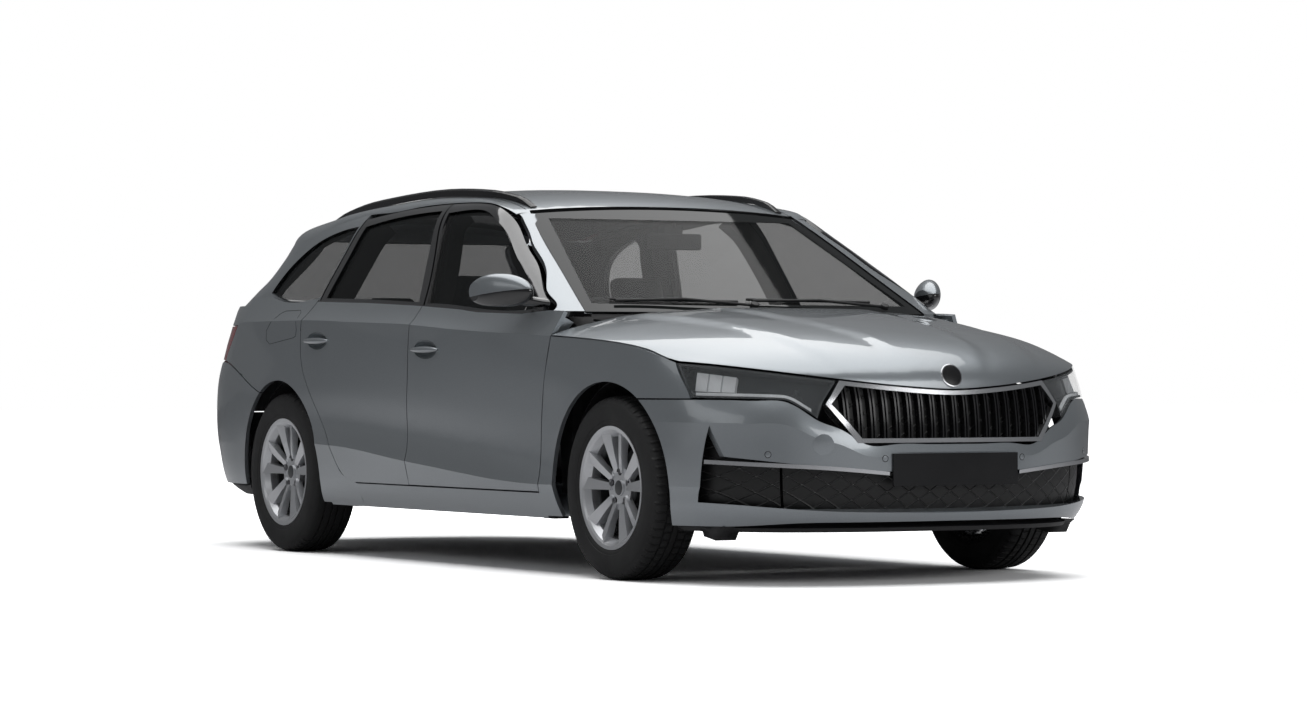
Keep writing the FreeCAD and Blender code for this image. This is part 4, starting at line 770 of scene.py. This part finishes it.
def wheel_bolts(name, body, side, axle):
    """Five bolts, each a round collar under a hexagon."""
    mesh = bmesh.new()
    for number in range(BOLTS):
        turn = math.radians(90.0 + 360.0 / BOLTS * number)
        y = axle + BOLT_CIRCLE * math.cos(turn)
        z = HUB_Z + BOLT_CIRCLE * math.sin(turn)
        for radius, near, far, sides in BOLT_PARTS:
            at = aimed(Vector((side * (WHEEL_X + (near + far) / 2), y, z)),
                       Vector((side, 0, 0)))
            bmesh.ops.create_cone(mesh, cap_ends=True, segments=sides, radius1=radius,
                                  radius2=radius * BOLT_TAPER, depth=far - near,
                                  matrix=at)
    piece(name, mesh, bolt_metal, body)


def hub_cap(name, body, side, axle):
    """Low turned cap over the hub."""
    mesh = bmesh.new()
    turned_ring(mesh, [(side * (WHEEL_X + along), radius) for along, radius in HUB_CAP],
                Vector((0.0, axle, HUB_Z)), HUB_CAP_STEPS)
    piece(name, mesh, cap_grey, body)


for label, body, side, axle in WHEELS:
    wheel_bolts("wheel_bolts_" + label, body, side, axle)
    hub_cap("hub_cap_" + label, body, side, axle)
print("bolts and caps on", len(WHEELS), "wheels")

# %% [markdown]
# The seats wear a dark woven cloth. Its weave is finer than a pixel here, so the
# shared grain with a deep bump stands for the threads, and sheen gives the soft
# light edge that fibres have.

# %% Seat cloth
seat_cloth, tree, shader = node_material("seat_cloth")
grain = use_group(tree, grain_group, Color=(0.022, 0.022, 0.024, 1.0), Scale=900.0,
                  Wear=0.35, Roughness=0.85)
tree.links.new(grain.outputs["Color"], shader.inputs["Base Color"])
tree.links.new(grain.outputs["Roughness"], shader.inputs["Roughness"])
shader.inputs["Sheen Weight"].default_value = 0.3
bumped(tree, shader, grain.outputs["Height"], 0.5, 0.0006)
print("cloth", seat_cloth.name)

# %% [markdown]
# Seats are foam under cloth. The cloth pulls the edges round and lets the middle
# swell, which a plain block can't show. Each cushion starts a little smaller than
# its CAD solid, as a block with round edges, is remeshed evenly and blown up by a
# short cloth simulation with pressure and no gravity. How far a point may move is
# capped, so the pad stays in its place. The seat on the other side is a mirrored
# copy.

# %% Helpers for cushions
CUSHION_EDGE = 0.03
CUSHION_PRESSURE = 4.0
SWELL_FRAMES = 20
WIDE_CAP, SMALL_CAP = 0.012, 0.008
FRONT_VOXEL, REAR_VOXEL, SMALL_VOXEL = 0.014, 0.018, 0.010
FLAT = (0.0, (0.0, 0.0, 0.0))
FRONT_LEAN = (-18.0, (0.0, 0.250, 0.420))
REAR_LEAN = (-20.0, (0.0, 0.980, 0.470))


def between(low, high):
    """Matrix that puts a unit cube between two corners."""
    low, high = Vector(low), Vector(high)
    return Matrix.Translation((low + high) / 2) @ Matrix.Diagonal((*(high - low), 1.0))


def edges_at(verts):
    """The edges that touch some vertices, each once."""
    return list({edge for vert in verts for edge in vert.link_edges})


def block(mesh, low, high, round_by):
    """Block between two corners, with round edges."""
    made = bmesh.ops.create_cube(mesh, size=1.0, matrix=between(low, high))
    bmesh.ops.bevel(mesh, geom=edges_at(made["verts"]), offset=round_by,
                    offset_type="OFFSET", segments=4, profile=0.5, affect="EDGES",
                    material=-1)


def baked(item):
    """The mesh of an object with its modifiers applied."""
    graph = bpy.context.evaluated_depsgraph_get()
    data = bpy.data.meshes.new_from_object(item.evaluated_get(graph))
    if not data.materials:
        data.materials.append(seat_cloth)
    item.modifiers.clear()
    return data


def swell(item, cap):
    start = baked(item)
    item.data = start
    before = [vert.co.copy() for vert in start.vertices]
    cloth = item.modifiers.new("cloth", "CLOTH")
    cloth.settings.use_pressure = True
    cloth.settings.uniform_pressure_force = CUSHION_PRESSURE
    cloth.settings.effector_weights.gravity = 0.0
    cloth.settings.quality = 4
    cloth.settings.tension_stiffness = 20.0
    cloth.point_cache.frame_start = 1
    cloth.point_cache.frame_end = SWELL_FRAMES
    for number in range(1, SWELL_FRAMES + 1):
        bpy.context.scene.frame_set(number)
    end = baked(item)
    for old, vert in zip(before, end.vertices):
        move = vert.co - old
        if move.length > cap:
            vert.co = old + move.normalized() * cap
    item.data = end
    bpy.context.scene.frame_set(1)


def softened(item):
    """Adds the one subdivision that smooths a cushion."""
    finish = item.modifiers.new("soften", "SUBSURF")
    finish.levels = finish.render_levels = 1
    item.data.shade_smooth()


def stuffed(name, low, high, lean, voxel, cap):
    """Cushion between two corners, leant back and swollen by a cloth simulation."""
    mesh = bmesh.new()
    block(mesh, low, high, CUSHION_EDGE)
    degrees, hinge = lean
    if degrees:
        bmesh.ops.rotate(mesh, cent=Vector(hinge), verts=mesh.verts,
                         matrix=Matrix.Rotation(math.radians(degrees), 3, "X"))
    item = piece(name, mesh, seat_cloth, "body")
    remesh = item.modifiers.new("even", "REMESH")
    remesh.mode = "VOXEL"
    remesh.voxel_size = voxel
    swell(item, cap)
    softened(item)
    return item


def twin(item, name):
    """Mirrored copy of a cushion for the other seat."""
    mesh = bmesh.new()
    mesh.from_mesh(item.data)
    bmesh.ops.scale(mesh, vec=(-1.0, 1.0, 1.0), verts=mesh.verts)
    copy = piece(name, mesh, seat_cloth, "body")
    softened(copy)
    return copy


print("simulation", "on")

# %% [markdown]
# A front seat is a cushion, a leaning backrest and a headrest. The corners below
# lie a little inside those of the CAD solids, so the swollen pads fill the same
# space.

# %% Front seats
front_pads = [
    stuffed("front_cushion_left", (0.135, -0.255, 0.345), (0.605, 0.235, 0.438), FLAT,
            FRONT_VOXEL, WIDE_CAP),
    stuffed("front_backrest_left", (0.140, 0.205, 0.425), (0.600, 0.297, 0.945),
            FRONT_LEAN, FRONT_VOXEL, WIDE_CAP),
    stuffed("front_headrest_left", (0.252, 0.228, 1.002), (0.488, 0.294, 1.158),
            FRONT_LEAN, SMALL_VOXEL, SMALL_CAP)]
for pad in front_pads:
    copy = twin(pad, pad.name.replace("left", "right"))
    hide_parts("front_seats")
    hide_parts("front_seats")
print("front cushions", [pad.name for pad in front_pads])

# %% [markdown]
# The rear bench is one wide cushion and one wide backrest with three headrests.
# The two wide pads are large and far from the eye, so their mesh is coarser.

# %% Rear seat
rear_pads = [
    stuffed("rear_cushion", (-0.585, 0.655, 0.385), (0.585, 0.985, 0.468), FLAT,
            REAR_VOXEL, WIDE_CAP),
    stuffed("rear_backrest", (-0.575, 0.945, 0.460), (0.575, 1.028, 0.915), REAR_LEAN,
            REAR_VOXEL, WIDE_CAP),
    stuffed("rear_headrest_left", (0.282, 0.955, 0.958), (0.498, 1.017, 1.080),
            REAR_LEAN, SMALL_VOXEL, SMALL_CAP)]
rear_pads.append(twin(rear_pads[2], "rear_headrest_right"))
rear_pads.append(
    stuffed("rear_headrest_middle", (-0.108, 0.955, 0.958), (0.108, 1.017, 1.080),
            REAR_LEAN, SMALL_VOXEL, SMALL_CAP))
for pad in rear_pads:
    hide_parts("rear_seat")
print("rear cushions", [pad.name for pad in rear_pads])

# %% [markdown]
# Rails under the front seats carry them on the floor, and two thin posts join a
# headrest to its backrest. They show through the glass, and without them the
# pads would float. Rings of points, bridged one to the next, make the round posts.
# They lean with the backrest, so they are placed upright and turned by the same
# angle.

# %% Seat rails and headrest posts
FRONT_SEAT_X, REAR_HEADREST_X = (-0.370, 0.370), (-0.390, 0.0, 0.390)
RAIL_HALF, RAIL_SHIFT, POST_SHIFT = 0.013, 0.205, 0.060
RAIL_BACK, RAIL_FRONT = (0.218, 0.352), (-0.228, 0.2175)
FRONT_POST = ((0.253, 0.900), (0.253, 1.030), 0.006)
REAR_POST = ((0.985, 0.880), (0.985, 0.975), 0.007)


def tube(mesh, points, radius, sides):
    """Round bar through points, closed at both ends."""
    points = [Vector(point) for point in points]
    ring = None
    for index, point in enumerate(points):
        before = points[max(index - 1, 0)]
        after = points[min(index + 1, len(points) - 1)]
        at = aimed(point, (after - before).normalized())
        made = bmesh.ops.create_circle(mesh, cap_ends=False, segments=sides,
                                       radius=radius, matrix=at)
        edges = edges_at(made["verts"])
        if ring:
            bmesh.ops.bridge_loops(mesh, edges=ring + edges)
        else:
            bmesh.ops.holes_fill(mesh, edges=edges)
        ring = edges
    bmesh.ops.holes_fill(mesh, edges=ring)


def leant(lean, point):
    """Where a point goes when its backrest leans."""
    degrees, hinge = lean
    turn = Matrix.Rotation(math.radians(degrees), 4, "X")
    return (Matrix.Translation(Vector(hinge)) @ turn
            @ Matrix.Translation(-Vector(hinge))) @ Vector(point)


def post(mesh, x, lean, foot, head, radius):
    """Round post that leans with its backrest."""
    tube(mesh, [leant(lean, (x, *foot)), leant(lean, (x, *head))], radius, 12)


mesh = bmesh.new()
for middle in FRONT_SEAT_X:
    for x in (middle - RAIL_SHIFT, middle + RAIL_SHIFT):
        bmesh.ops.create_cube(mesh, size=1.0, matrix=between(
            (x - RAIL_HALF, *RAIL_FRONT), (x + RAIL_HALF, *RAIL_BACK)))
    for x in (middle - POST_SHIFT, middle + POST_SHIFT):
        post(mesh, x, FRONT_LEAN, *FRONT_POST)
for middle in REAR_HEADREST_X:
    post(mesh, middle, REAR_LEAN, *REAR_POST)
print("rails and posts", len(mesh.faces), "faces")
piece("seat_rails_and_posts", mesh, dark_steel, "body")

# %% [markdown]
# Small round trim stands on the nose: a plain badge disc on the bonnet, a cover
# over the towing eye and four parking sensors on the bumper. Their places could
# be typed in, but the panels are curved, so a ray finds the surface and its
# slope, and each low button is turned to it. A button is given by its radius, its
# height, the bevel of its rim and the number of its sides.

# %% Nose badge, towing-eye cover and parking sensors
AHEAD = -3.0
BADGE_PLACE, TOW_PLACE = (0.0, 0.722), (-0.503, 0.488)
SENSOR_PLACES = ((-0.664, 0.454), (-0.286, 0.439), (0.286, 0.439), (0.664, 0.454))
RIM_SUNK, SUNK = 0.004, 0.002
BADGE_RIM = (0.043, 0.0075, 0.0025, 64)
BADGE_FACE = (0.038, 0.0062, 0.0008, 64)
TOW_COVER = (0.036, 0.0026, 0.0005, 48)
SENSOR = (0.0095, 0.0035, 0.0005, 24)
SENSOR_RING = (0.0118, 0.0026, 0.0004, 24)
surfaces = {}


def surface(node):
    """Search tree of a CAD node's surface, built once."""
    if node not in surfaces:
        mesh = bmesh.new()
        mesh.from_mesh(nodes[node].data)
        surfaces[node] = BVHTree.FromBMesh(mesh)
        mesh.free()
    return surfaces[node]


def land(node, start, way):
    """Point and outward direction where a ray meets a CAD node."""
    way = Vector(way)
    hit, normal = surface(node).ray_cast(Vector(start), way.normalized())[:2]
    if hit is None:
        raise ValueError("no surface of %s under %s" % (node, start))
    if normal.dot(way) > 0:
        normal = -normal
    return hit, normal


def disc(mesh, centre, normal, radius, lift, edge, sides):
    """Low round button standing on a surface, with a bevelled rim."""
    at = aimed(centre + normal * (lift / 2), normal)
    made = bmesh.ops.create_cone(mesh, cap_ends=True, segments=sides, radius1=radius,
                                 radius2=radius, depth=lift, matrix=at)
    home = at.inverted()
    top = [line for line in edges_at(made["verts"])
           if all((home @ vert.co).z > 0 for vert in line.verts)]
    bmesh.ops.bevel(mesh, geom=top, offset=edge, offset_type="OFFSET", segments=3,
                    profile=0.5, affect="EDGES", material=-1)


def from_ahead(node, x, z):
    """Point and outward direction of a nose panel, seen from the front."""
    return land(node, (x, AHEAD, z), (0, 1, 0))


spot, facing = from_ahead("bonnet", *BADGE_PLACE)
mesh = bmesh.new()
disc(mesh, spot - facing * RIM_SUNK, facing, *BADGE_RIM)
piece("nose_badge", mesh, bright_trim, "bonnet_lid")
mesh = bmesh.new()
disc(mesh, spot - facing * SUNK, facing, *BADGE_FACE)
piece("nose_badge_face", mesh, black_gloss, "bonnet_lid")
print("badge at", [round(value, 3) for value in spot])

mesh = bmesh.new()
spot, facing = from_ahead("front_bumper", *TOW_PLACE)
disc(mesh, spot - facing * SUNK, facing, *TOW_COVER)
piece("towing_eye_cover", mesh, body_paint, "body")

mesh = bmesh.new()
rings = bmesh.new()
for x, z in SENSOR_PLACES:
    spot, facing = from_ahead("front_bumper", x, z)
    disc(mesh, spot - facing * SUNK, facing, *SENSOR)
    disc(rings, spot - facing * SUNK, facing, *SENSOR_RING)
piece("parking_sensors", mesh, body_paint, "body")
piece("parking_sensor_rings", rings, black_gloss, "body")
print("sensors", len(SENSOR_PLACES))

# %% [markdown]
# The right rear quarter carries the fuel flap, which shows only as a thin dark
# line round its edge. Cutting it out of the panel would need a new solid for a
# line a millimetre wide, so a thin bar is laid into the surface along the
# outline, with three extra points on each side of it to follow the curve.

# %% Fuel flap
FLAP = ((1.058, 0.874), (1.300, 0.850), (1.335, 0.868), (1.330, 0.905), (1.220, 0.976),
        (1.185, 0.985), (1.045, 0.986), (1.028, 0.975), (1.022, 0.905), (1.034, 0.880))
SEAM_DEPTH, SEAM_RADIUS = 0.0006, 0.0016

outline = []
for (y0, z0), (y1, z1) in zip(FLAP, FLAP[1:] + FLAP[:1]):
    for share in (0.0, 0.25, 0.5, 0.75):
        y, z = y0 + (y1 - y0) * share, z0 + (z1 - z0) * share
        spot, facing = land("body_sides", (-1.5, y, z), (1, 0, 0))
        outline.append(spot - facing * SEAM_DEPTH)
mesh = bmesh.new()
tube(mesh, outline + outline[:1], SEAM_RADIUS, 6)
piece("fuel_flap_seam", mesh, black_plastic, "body")
print("seam points", len(outline))

# %% [markdown]
# The black lips under the bumpers sit a little inside the painted edge. The CAD
# solid follows the widest line of the nose, so the visible lip is a copy of it
# that is drawn in towards the wheels, and it replaces that node.

# %% Lips under the bumpers
LIP_ENDS = ((-1.0, 0.960, 1.650), (1.0, 0.985, -1.400))

mesh = bmesh.new()
mesh.from_mesh(nodes["lower_valances"].data)
bmesh.ops.remove_doubles(mesh, verts=mesh.verts, dist=1e-6)
for end, share, shift in LIP_ENDS:
    lip = [vert for vert in mesh.verts if vert.co.y * end > 0.0]
    bmesh.ops.scale(mesh, vec=(share, share, 1.0), verts=lip,
                    space=Matrix.Translation((0.0, shift, 0.0)))
lips = piece("bumper_lips", mesh, black_plastic, "body")
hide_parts("lower_valances")
print("lips", [round(value, 3) for value in lips.dimensions])

# %% [markdown]
# Through the windscreen one sees a small mirror on a stalk, which hangs from a
# foot on the glass. It is two blocks with round edges and a bent bar. A ray finds
# the glass at the height of the foot.

# %% Inside mirror
GLASS_LOW, GLASS_HIGH = (-0.125, -0.452, 1.205), (0.125, -0.424, 1.268)
STALK = ((0.0, -0.440, 1.262), (0.0, -0.440, 1.290))
STALK_RADIUS, STALK_SUNK = 0.008, 0.012
FOOT_HEIGHT, FOOT_HALF = 1.318, 0.045

mesh = bmesh.new()
block(mesh, GLASS_LOW, GLASS_HIGH, 0.010)
glass, facing = from_ahead("windscreen", 0.0, FOOT_HEIGHT)
tube(mesh, [*STALK, glass - facing * STALK_SUNK], STALK_RADIUS, 10)
block(mesh, (-FOOT_HALF, glass.y + 0.012, 1.262), (FOOT_HALF, glass.y + 0.060, 1.300),
      0.008)
piece("inside_mirror", mesh, cabin_plastic, "body")
print("mirror foot at", [round(value, 3) for value in glass])

# %% [markdown]
# Two wipers rest on the glass, each an arm from its pivot and a rubber blade.
# The blade bends with the glass, so its points are found by rays and stand a few
# millimetres off the surface.

# %% Wipers
WIPERS = ((0.560, -0.035, 0.988), (-0.050, -0.600, 0.985))
PIVOT_Z, MIDDLE_Z = 0.968, 0.986
PIVOT_LIFT, MIDDLE_LIFT, TIP_LIFT, BLADE_LIFT = 0.016, 0.020, 0.013, 0.007
ARM_RADIUS, BLADE_RADIUS = 0.0055, 0.0050
BLADE_SHARES = (-0.02, 0.15, 0.3, 0.45, 0.6, 0.75, 0.92)
PIVOT_UP = Vector((0, -0.5, 0.86)).normalized()
PIVOT_CAP = (0.016, 0.016, 0.003, 24)


def on_glass(x, z, lift):
    """Point that stands off the windscreen."""
    spot, facing = from_ahead("windscreen", x, z)
    return spot + facing * lift


mesh = bmesh.new()
for pivot_x, tip_x, tip_z in WIPERS:
    base = on_glass(pivot_x * 0.98, PIVOT_Z, PIVOT_LIFT)
    tip = on_glass(tip_x, tip_z, TIP_LIFT)
    middle = on_glass((pivot_x + tip_x) / 2, MIDDLE_Z, MIDDLE_LIFT)
    tube(mesh, [base, middle, tip], ARM_RADIUS, 8)
    blade = [on_glass(tip_x + (pivot_x - tip_x) * share, tip_z + 0.010 - 0.006 * share,
                      BLADE_LIFT)
             for share in BLADE_SHARES]
    tube(mesh, blade, BLADE_RADIUS, 8)
    disc(mesh, base - Vector((0, 0, 0.006)), PIVOT_UP, *PIVOT_CAP)
wipers = piece("windscreen_wipers", mesh, black_plastic, "body")
print("wiper faces", len(wipers.data.polygons))
